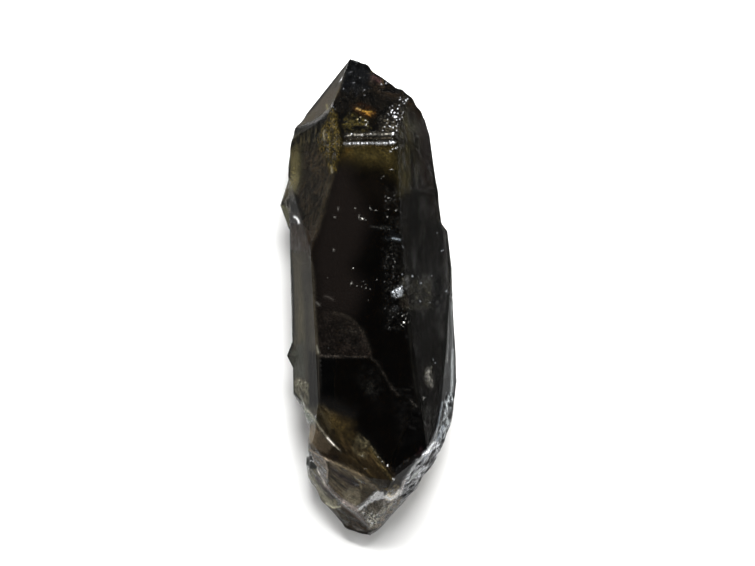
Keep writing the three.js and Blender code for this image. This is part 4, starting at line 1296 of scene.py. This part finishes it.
def lobe_marks() -> list[Mark]:
    """The marks of the broken end's lower part: the pale left facet, ridge, lobe in painted reflection of the floor,
    white shell and rubble with painted glints.

    Returns:
        The marks, in the order in which they are laid.
    """
    left_facet = (
        (308.6, 469), (316, 470), (321, 478), (326, 487), (331, 495), (338, 501), (337, 508), (332, 509),
        (322, 503.6), (315, 493), (309.6, 482),
    )
    lobe = (
        (331, 508), (341, 505), (350, 512), (360, 520), (370, 530), (367, 535), (355, 534), (344, 528), (336, 518),
    )
    shell = (
        (374.8, 492.5), (378.4, 490.6), (380.6, 492.4), (383.4, 491.6), (384.2, 495.6), (386.2, 498.2),
        (381.4, 498.6), (378, 501), (374.8, 500), (372.2, 503.4), (369.2, 502.8), (367.8, 506.4), (364, 505.8),
        (362.6, 508.8), (357.6, 510.2), (360.4, 506.2), (364.2, 504.2), (366.2, 500.4), (369.6, 499.2), (370.4, 496),
        (372.8, 495.2),
    )
    dark = (
        (367, 505.4), (373, 502), (380, 500), (385, 499.6), (388, 503.6), (386, 509), (380, 514.6), (374, 514.6),
        (369, 512.4), (366.6, 508.6),
    )
    cream = (
        (384.4, 496.6), (388.4, 493.2), (390.8, 495.6), (394, 494.8), (397.4, 490.8), (400, 489.4), (399.2, 493.6),
        (396, 497.2), (391, 501), (386, 500.4),
    )
    strip = (
        (387, 504), (391, 501), (397, 497), (402, 497), (400, 503.4), (393, 511.4), (385, 520), (379, 527),
        (372, 532.4), (367, 530), (373, 523), (380, 517), (386, 510),
    )
    rubble = ((357, 509), (363, 507), (367, 511), (374, 514), (380, 515), (379, 521), (371, 528), (364, 520))
    return [
        Patch(left_facet, 0.9, "#918d79", 1.4, grain=0.6, stretch=3, turn=58, threshold=-0.3, contrast=1, broken=0.35,
            seed=109, fine=0.36),
        Stroke(((317, 478), (324, 488), (332, 498)), 2.2, 0.72, "#413643", gaps=0.3, bead=0.8, broken=0.3, seed=109),
        Stroke(((311, 472), (318, 483), (326, 495)), 1, 0.4, "#71716c", gaps=0.4, bead=0.8, broken=0.3, seed=110),
        Patch(((322, 486), (330, 489), (336, 498), (328, 498)), 0.52, "#232026", 2, seed=110),
        # Painted reflection of the floor on the lobe.
        Patch(lobe, 0.88, "#4e4439", 1.4, grain=0.6, stretch=3, turn=42, threshold=-0.25, contrast=1.2, rough=0.05,
            broken=0.4, seed=111, fine=0.36),
        Patch(((332, 509), (341, 507), (348, 514), (346, 526), (337, 518)), 0.5, "#6f6d5e", 2.4, broken=0.4,
            seed=111),
        Stroke(((326.6, 503.6), (333, 507.6), (340, 506.6)), 1.2, 0.85, "#f3f0d5", gaps=0.3, broken=0.4, seed=112),
        Stroke(((326, 486), (333, 492), (340, 499), (348, 506), (355, 511), (362, 517.6), (369, 525)), 1.5, 0.6,
            "#ab9f99", lift=0.05, gaps=0.3, bead=0.7, broken=0.4, seed=110),
        Stroke(((344, 501.6), (351, 506), (358.4, 510)), 2.2, 0.85, "#e3d7d0", lift=0.04, gaps=0.25, bead=0.7,
            broken=0.4, seed=113),
        Stroke(((341, 504.6), (350, 511.6), (361, 520)), 0.8, 0.55, "#af9d92", gaps=0.3, bead=0.7, seed=113),
        Stroke(((345, 510), (355, 517.4), (366, 528)), 1.4, 0.6, "#45382e", lift=-0.04, gaps=0.2, bead=0.7,
            broken=0.2, seed=114),
        Patch(rubble, 0.92, "#bdb8ad", 1.2, grain=0.24, contrast=3.2, rough=0.14, broken=0.7, thread=0.2, seed=112,
            fine=0.17),
        Patch(strip, 0.88, "#9b9285", 1.2, grain=0.36, threshold=-0.15, contrast=2.4, rough=0.12, broken=0.6,
            seed=115, fine=0.2),
        Stroke(((381, 513.6), (387, 508), (392, 503.4)), 0.9, 0.75, "#e6e2d2", lift=0.05, gaps=0.4, bead=0.4,
            broken=0.5, seed=115),
        Patch(shell, 1, "#ffffff", 0.8, threshold=-0.7, contrast=0.7, lift=0.05, broken=0.12, seed=113, fine=0.18),
        Stroke(((378, 492.6), (381.6, 493.6), (382.6, 497)), 1.6, 1, "#ffffff", lift=0.04, broken=0.1),
        Patch(dark, 0.92, "#9a9489", 0.9, threshold=-0.5, contrast=0.8, lift=-0.12, seed=115, fine=0.18),
        Stroke(((377, 500.4), (383, 499.8), (387.6, 503.6), (386.4, 508)), 1.1, 0.3, "#25201d", broken=0.1),
        Stroke(((367.6, 508), (369.4, 512.6), (375, 515)), 0.8, 0.26, "#1f1b16", broken=0.1),
        Patch(((381, 488.6), (389, 487.4), (395, 484.4), (400.6, 485.4), (399, 491), (392, 495), (386, 496),
            (383, 493)), 0.9, "#83775b", 1.2, grain=0.35, contrast=2.2, broken=0.5, seed=116),
        Patch(cream, 0.97, "#fbf0d8", 1, grain=0.4, threshold=-0.7, contrast=0.9, broken=0.12, seed=114, fine=0.18),
        Stroke(((385.6, 496.4), (390, 499), (396, 496), (399.2, 490.6)), 1.8, 1, "#ffffff", lift=0.04, gaps=0.15,
            bead=0.35, broken=0.2, seed=114),
        Patch(((367, 515), (372, 513.4), (379, 517), (376, 525), (370, 527.4), (366, 521)), 0.96, "#f0eee3", 1,
            grain=0.2, threshold=0.05, contrast=5, rough=0.1, broken=0.6, thread=0.18, seed=118, fine=0.17),
        # Painted glints in the rubble.
        Specks(((372.2, 522.8, 1.34, 1), (369, 520.6, 1.09, 1), (374.2, 516.4, 0.84, 0.7), (368.4, 516.6, 1.09, 0.9),
            (377.2, 514.6, 0.84, 0.6), (370.8, 526.2, 0.76, 0.6), (364, 512.6, 1.18, 0.9), (360.8, 508.8, 1.26, 0.8),
            (371.4, 513.8, 0.92, 0.7), (365.6, 518.4, 0.76, 0.5), (357.6, 506.2, 0.84, 0.5)), "#ffffff"),
        Stroke(((337.6, 517), (346, 526.2), (355.6, 531.6), (366.6, 533), (374.6, 529)), 1.3, 0.9, "#191611",
            broken=0.1),
        Stroke(((309.6, 482), (315, 492.6), (322.6, 503.4), (331, 508)), 0.8, 0.6, "#242420", gaps=0.2, bead=0.8,
            broken=0.1, seed=119),
    ]


OUTLINE_NUDGES = (
    Nudge((290, 145), (-2.4, 0), 9),
    Nudge((296, 129), (-3.9, -2.3), 8),
    Nudge((289, 162), (-1.3, 0), 10),
    Nudge((366, 65), (3.2, -3.6), 6),
    Nudge((357, 61), (0.8, -1.6), 4),
    Nudge((386, 86), (-1.6, 1.8), 5),
    Nudge((396, 87), (-0.4, 2.4), 5),
    Nudge((411, 100), (2.4, -1.6), 7),
    Nudge((420, 111), (1.8, -1.2), 6),
    Nudge((437, 192), (0.8, 0), 8),
    Nudge((456, 350), (1.0, 0), 20),
    Nudge((451, 424), (2.6, 0.6), 12),
    Nudge((446, 443), (1.8, 1.0), 8),
    Nudge((432, 466), (2.4, 1.8), 10),
    Nudge((416, 486), (2.2, 1.8), 8),
    Nudge((302, 458), (2.6, 0), 5),
    Nudge((305, 430), (3.4, 0), 10),
    Nudge((309, 482), (-1.2, 1.0), 6),
    Nudge((319, 500), (-1.8, 1.6), 6),
    Nudge((348, 530), (-0.8, 2.6), 6),
    Nudge((359, 533), (0, 2.2), 7),
    Nudge((382, 523), (0.6, 0.6), 7),
)


# Finishes


Socket = bpy.types.NodeSocket
Span = tuple[float, float, float, float]


@dataclass(frozen=True)
class Texture:
    """Noise over a finish: the size of its largest grains in millimetres, its octaves and their strength."""

    grain: float
    detail: float
    roughness: float = 0.5


@dataclass(frozen=True)
class QuartzClear:
    """Clear smoky quartz as grown: see-through and brown by the length of the light's way in it.

    Its wear maps from noise to roughness; depths are in millimetres.
    """

    ior: float = 1.544
    transmission: float = 1.0
    absorption_density: float = 350.0
    absorption_colour: str = "#bcb08a"
    tint: str = "#ffffff"
    worn: Texture = Texture(3.0, 4.0)
    wear: Span = (0.35, 0.7, 0.04, 0.16)
    pits: Texture = Texture(0.5, 5.0, 0.6)
    pit_depth: float = 0.010
    thread_depth: float = 0.004


@dataclass(frozen=True)
class QuartzBruised:
    """Fractured and frosted quartz: a fine white bruise that scatters light at the surface. It also carries the marks'
    painted glints, glows, sheens and reflections.

    Its threads run along the marks' weave, which counts in threads; grit and threads map from noise to brightness.
    """

    roughness: float = 0.5
    ior: float = 1.54
    specular_level: float = 0.08
    grit: Texture = Texture(0.22, 4.0, 0.65)
    grit_shade: Span = (0.3, 0.7, 0.55, 1.3)
    grit_depth: float = 0.04
    threads: Texture = Texture(1.0, 2.0, 0.55)
    thread_shade: Span = (0.36, 0.66, 0.0, 2.1)
    thread_depth: float = 0.03


@dataclass(frozen=True)
class FloorFinish:
    """Matte board, pale where the camera looks, with painted shade beyond, as if the light fell off there; sizes in
    millimetres.
    """

    colour: str = "#ebebea"
    # Painted shade: the board darkens beyond the view, standing in for light falling off.
    far_painted_shade: str = "#5c5b59"
    pale_half: tuple[float, float] = (54.0, 42.0)
    fade: float = 18.0
    roughness: float = 0.9


# Nodes


def add_node(tree: bpy.types.NodeTree, kind: str, settings: dict | None = None) -> bpy.types.Node:
    """Adds a node with its settings and the links into it.

    Args:
        tree: The node tree.
        kind: The node's type name in Blender, without its first words.
        settings: Values of its properties, or of its inputs where a key is one's name or number. A socket as a value
            is linked to that input.

    Returns:
        The node.
    """
    node = tree.nodes.new("ShaderNode" + kind)
    for key, value in (settings or {}).items():
        if isinstance(value, Socket):
            tree.links.new(value, node.inputs[key])
        elif isinstance(key, int) or key in node.inputs:
            node.inputs[key].default_value = value
        else:
            setattr(node, key, value)
    return node


def maths(tree: bpy.types.NodeTree, operation: str, one: Socket | float, two: Socket, held: bool = False) -> Socket:
    """The result of two values, held to 0..1 where asked."""
    return add_node(tree, "Math", {"operation": operation, "use_clamp": held, 0: one, 1: two}).outputs[0]


def shared(tree: bpy.types.NodeTree, share: Socket, value: Socket) -> Socket:
    """From 1 at no share to the value at a whole one."""
    return add_node(tree, "Mix", {"data_type": "FLOAT", 0: share, 2: 1.0, 3: value}).outputs[0]


def ranged(tree: bpy.types.NodeTree, value: Socket, span: Span) -> Socket:
    """A value taken from the span's first two ends to its last two, and held there."""
    return add_node(tree, "MapRange", {0: value, **dict(enumerate(span, 1))}).outputs[0]


def speckled(tree: bpy.types.NodeTree, texture: Texture, where: Socket, unit: float = MM) -> Socket:
    """A texture's noise, at places that count in units."""
    settings = {"Scale": 1 / (texture.grain * unit), "Detail": texture.detail, "Roughness": texture.roughness}
    return add_node(tree, "TexNoise", {**settings, "Vector": where}).outputs["Fac"]


def bumped(tree: bpy.types.NodeTree, layers: Sequence[tuple[Socket, float]]) -> Socket:
    """Lays bumps one on the other.

    Args:
        tree: The material's tree.
        layers: Each layer's height and its depth in millimetres, lowest first.

    Returns:
        The normal over all layers.
    """
    under = {}
    for height, depth in layers:
        settings = {"Strength": 1.0, "Distance": depth * MM, "Height": height}
        under = {"Normal": add_node(tree, "Bump", settings | under).outputs[0]}
    return under["Normal"]


# The crystal


@dataclass
class CrystalSkin:
    """The whole crystal: its skin with the marks, and its material."""

    view: PhotoView
    clear: QuartzClear = field(default_factory=QuartzClear)
    bruised: QuartzBruised = field(default_factory=QuartzBruised)
    name: str = "smoky_quartz_crystal"
    sharp_angle: float = 28.0
    wave_grain: float = 5.0
    wave_depth: float = 0.02
    striation_grain: float = 0.9
    striation_run: tuple[float, float, float] = (0.15, 1.0, 0.15)
    striation_depth: float = 0.012
    prism_slope: float = 3.0

    def marks(self) -> list[Mark]:
        """All marks, from the point to the broken end.

        Returns:
            The marks, in the order in which they are laid.
        """
        return [
            *front_marks(), *right_marks(), *left_marks(), *strip_marks(),
            *rim_marks(), *break_marks(), *lobe_marks(), *point_marks(),
        ]

    def build(self) -> bpy.types.Object:
        """Makes the skin from the CAD node and dresses it.

        Returns:
            The crystal's object.
        """
        marks = self.marks()
        skin = Skin(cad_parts[NODE], self.view)
        skin.split(Spacing(self.view, marks))
        for nudge in OUTLINE_NUDGES:
            skin.points = nudge.make(skin.points, self.view)
        skin.open_fields()
        self._grow(skin)
        for mark in marks:
            mark.make(skin)
        skin.press()
        crystal = self._object(skin)
        crystal.data.materials.append(self._material())
        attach(crystal, "root")
        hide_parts(NODE)
        return crystal

    def _grow(self, skin: Skin) -> None:
        """Gives every face a slight unevenness and the prism faces their cross striations.

        Args:
            skin: The skin, whose lift it adds to.
        """
        skin.lift += self.wave_depth * noise(skin.points, self.wave_grain, 201, 2)
        lines = noise(skin.points * np.array(self.striation_run), self.striation_grain, 202)
        skin.lift += self.striation_depth * lines * smooth(1 - np.abs(skin.out[:, 1]) * self.prism_slope)

    def _object(self, skin: Skin) -> bpy.types.Object:
        """Puts the skin into a mesh with its cover, colour and satin as attributes.

        Args:
            skin: The finished skin.

        Returns:
            The crystal's object.
        """
        mesh = bpy.data.meshes.new(self.name)
        mesh.from_pydata((skin.points * MM).tolist(), [], skin.faces.tolist())
        mesh.update()
        mesh.polygons.foreach_set("use_smooth", np.ones(len(mesh.polygons), bool))
        mesh.set_sharp_from_angle(angle=math.radians(self.sharp_angle))
        for title, kind, part, values in (
            ("cover", "FLOAT", "value", skin.cover),
            ("satin", "FLOAT", "value", skin.satin),
            ("broken", "FLOAT", "value", skin.broken),
            ("weave", "FLOAT_VECTOR", "vector", skin.weave),
            # The bruise colour also carries painted glints, glows, sheens and reflections.
            ("bruise_and_painted_light_colour", "FLOAT_COLOR", "color", np.c_[skin.colour, np.ones(len(skin.colour))]),
        ):
            layer = mesh.attributes.new(title, kind, "POINT")
            layer.data.foreach_set(part, values.astype(np.float32).reshape(-1))
        crystal = bpy.data.objects.new(self.name, mesh)
        bpy.context.scene.collection.objects.link(crystal)
        return crystal

    def _material(self) -> bpy.types.Material:
        """Clear quartz with bruised quartz, which also carries painted light, mixed in where the marks cover it, and
        absorption inside.

        Returns:
            The crystal's material.
        """
        material = bpy.data.materials.new("smoky_quartz_as_grown")
        material.use_nodes = True
        tree = material.node_tree
        tree.nodes.clear()
        place = add_node(tree, "TexCoord").outputs["Object"]
        laid = {
            name: add_node(tree, "Attribute", {"attribute_name": name}).outputs[output]
            for name, output in (
                ("cover", "Fac"), ("satin", "Fac"), ("broken", "Fac"), ("bruise_and_painted_light_colour", "Color"), ("weave", "Vector"),
            )
        }
        threads = ranged(tree, speckled(tree, self.bruised.threads, laid["weave"], 1.0), self.bruised.thread_shade)
        grain = shared(tree, laid["broken"], threads)
        thin = maths(tree, "SUBTRACT", 1.0, laid["cover"], True)
        parted = shared(tree, maths(tree, "MULTIPLY", laid["broken"], thin), threads)
        both = {
            0: maths(tree, "MULTIPLY", laid["cover"], parted, True),
            1: self._clear(tree, place, laid["satin"], grain),
            2: self._bruised(tree, place, laid["bruise_and_painted_light_colour"], grain),
        }
        absorbed = {"Color": rgba(self.clear.absorption_colour), "Density": self.clear.absorption_density}
        ends = {
            "Surface": add_node(tree, "MixShader", both).outputs[0],
            "Volume": add_node(tree, "VolumeAbsorption", absorbed).outputs[0],
        }
        add_node(tree, "OutputMaterial", ends)
        return material

    def _clear(self, tree: bpy.types.NodeTree, place: Socket, satin: Socket, grain: Socket) -> Socket:
        """The see-through quartz, worn, pitted and dulled by satin.

        Args:
            tree: The material's tree.
            place: Each place on the crystal.
            satin: The least roughness there.
            grain: The marks' fine grain.

        Returns:
            The shader.
        """
        clear = self.clear
        rough = ranged(tree, speckled(tree, clear.worn, place), clear.wear)
        settings = {
            "Base Color": rgba(clear.tint), "IOR": clear.ior, "Transmission Weight": clear.transmission,
            "Roughness": maths(tree, "MAXIMUM", rough, satin),
            "Normal": bumped(
                tree, ((speckled(tree, clear.pits, place), clear.pit_depth), (grain, clear.thread_depth)),
            ),
        }
        return add_node(tree, "BsdfPrincipled", settings).outputs[0]

    def _bruised(self, tree: bpy.types.NodeTree, place: Socket, colour: Socket, grain: Socket) -> Socket:
        """The bruised quartz in the marks' colours, with painted glints, glows, sheens and reflections among them.

        Args:
            tree: The material's tree.
            place: Each place on the crystal.
            colour: The marks' colour there.
            grain: The marks' fine grain.

        Returns:
            The shader.
        """
        bruised = self.bruised
        grit = speckled(tree, bruised.grit, place)
        shade = maths(tree, "MULTIPLY", ranged(tree, grit, bruised.grit_shade), grain)
        toned = add_node(tree, "VectorMath", {"operation": "SCALE", 0: colour, "Scale": shade}).outputs[0]
        settings = {
            "Roughness": bruised.roughness, "IOR": bruised.ior, "Specular IOR Level": bruised.specular_level,
            "Base Color": toned,
            "Normal": bumped(tree, ((grit, bruised.grit_depth), (grain, bruised.thread_depth))),
        }
        return add_node(tree, "BsdfPrincipled", settings).outputs[0]


# Floor and light


@dataclass(frozen=True)
class Lamp:
    """An area lamp that looks at the crystal, with its place and sizes in metres and its power in watts."""

    name: str
    place: tuple[float, float, float]
    size: tuple[float, float]
    power: float

    def build(self) -> None:
        """Hangs the lamp."""
        data = bpy.data.lights.new(self.name, "AREA")
        data.shape = "RECTANGLE"
        data.size, data.size_y = self.size
        data.energy = self.power
        lamp = bpy.data.objects.new(self.name, data)
        lamp.location = self.place
        lamp.rotation_euler = (-Vector(self.place)).to_track_quat("-Z", "Y").to_euler()
        bpy.context.scene.collection.objects.link(lamp)


@dataclass
class Studio:
    """The pale floor with painted shade beyond the view, the lamps round it and the dim room, whose strength goes down
    with the height looked at.
    """

    floor_half: float = 1.5
    floor_gap: float = 0.05
    finish: FloorFinish = field(default_factory=FloorFinish)
    room: Span = (0.2, 0.9, 0.17, 0.07)
    gamma: float = 0.8
    lamps: Sequence[Lamp] = (
        Lamp("window_top", (0.05, 0.38, 0.60), (0.34, 0.22), 9.0),
        Lamp("window_left", (-0.46, 0.34, 0.40), (0.30, 0.30), 2.4),
        Lamp("window_right", (0.46, 0.34, 0.40), (0.30, 0.30), 2.4),
        Lamp("window_front", (0.24, -0.40, 0.50), (0.40, 0.25), 0.8),
    )

    def build(self) -> None:
        """Makes the floor, the lamps and the world, and sets the tone curve."""
        s = self.floor_half
        mesh = bpy.data.meshes.new("floor")
        z = -self.floor_gap * MM
        mesh.from_pydata([(-s, -s, z), (s, -s, z), (s, s, z), (-s, s, z)], [], [(0, 1, 2, 3)])
        floor = bpy.data.objects.new("floor", mesh)
        bpy.context.scene.collection.objects.link(floor)
        mesh.materials.append(self._board())
        for lamp in self.lamps:
            lamp.build()
        bpy.context.scene.world = self._room()
        settings = bpy.context.scene.view_settings
        settings.view_transform = "Standard"
        settings.gamma = self.gamma

    def _board(self) -> bpy.types.Material:
        """A matte board whose colour fades from pale to a painted shade outside the rectangle that the camera sees.

        Returns:
            The floor's material.
        """
        material = bpy.data.materials.new("matte_pale_board")
        material.use_nodes = True
        tree = material.node_tree
        half = (self.finish.pale_half[0] * MM, self.finish.pale_half[1] * MM, 1.0)
        out = add_node(tree, "TexCoord").outputs["Object"]
        for settings in ({"operation": "ABSOLUTE"}, {"operation": "SUBTRACT", 1: half}, {"operation": "MAXIMUM"}):
            out = add_node(tree, "VectorMath", {**settings, 0: out}).outputs[0]
        far = add_node(tree, "VectorMath", {"operation": "LENGTH", 0: out}).outputs["Value"]
        share = ranged(tree, far, (0.0, self.finish.fade * MM, 0.0, 1.0))
        tones = {6: rgba(self.finish.colour), 7: rgba(self.finish.far_painted_shade)}
        tone = add_node(tree, "Mix", {"data_type": "RGBA", 0: share, **tones}).outputs[2]
        shader = tree.nodes["Principled BSDF"]
        shader.inputs["Roughness"].default_value = self.finish.roughness
        tree.links.new(tone, shader.inputs["Base Color"])
        return material

    def _room(self) -> bpy.types.World:
        """A dim room, darker straight above.

        Returns:
            The world.
        """
        world = bpy.data.worlds.new("room")
        world.use_nodes = True
        tree = world.node_tree
        sky = tree.nodes["Background"]
        sky.inputs["Color"].default_value = (1, 1, 1, 1)
        way = add_node(tree, "TexCoord").outputs["Generated"]
        height = add_node(tree, "SeparateXYZ", {0: way}).outputs["Z"]
        tree.links.new(ranged(tree, height, self.room), sky.inputs["Strength"])
        return world


def main() -> None:
    """Builds the camera, the crystal and the studio, and reports each."""
    logging.basicConfig(level=logging.INFO, format="%(name)s: %(message)s")
    view = PhotoView()
    view.build()
    crystal = CrystalSkin(view).build()
    LOG.info("%s: %d triangles", crystal.name, len(crystal.data.polygons))
    Studio().build()
    LOG.info("floor and lights")


if __name__ == "__main__":
    main()
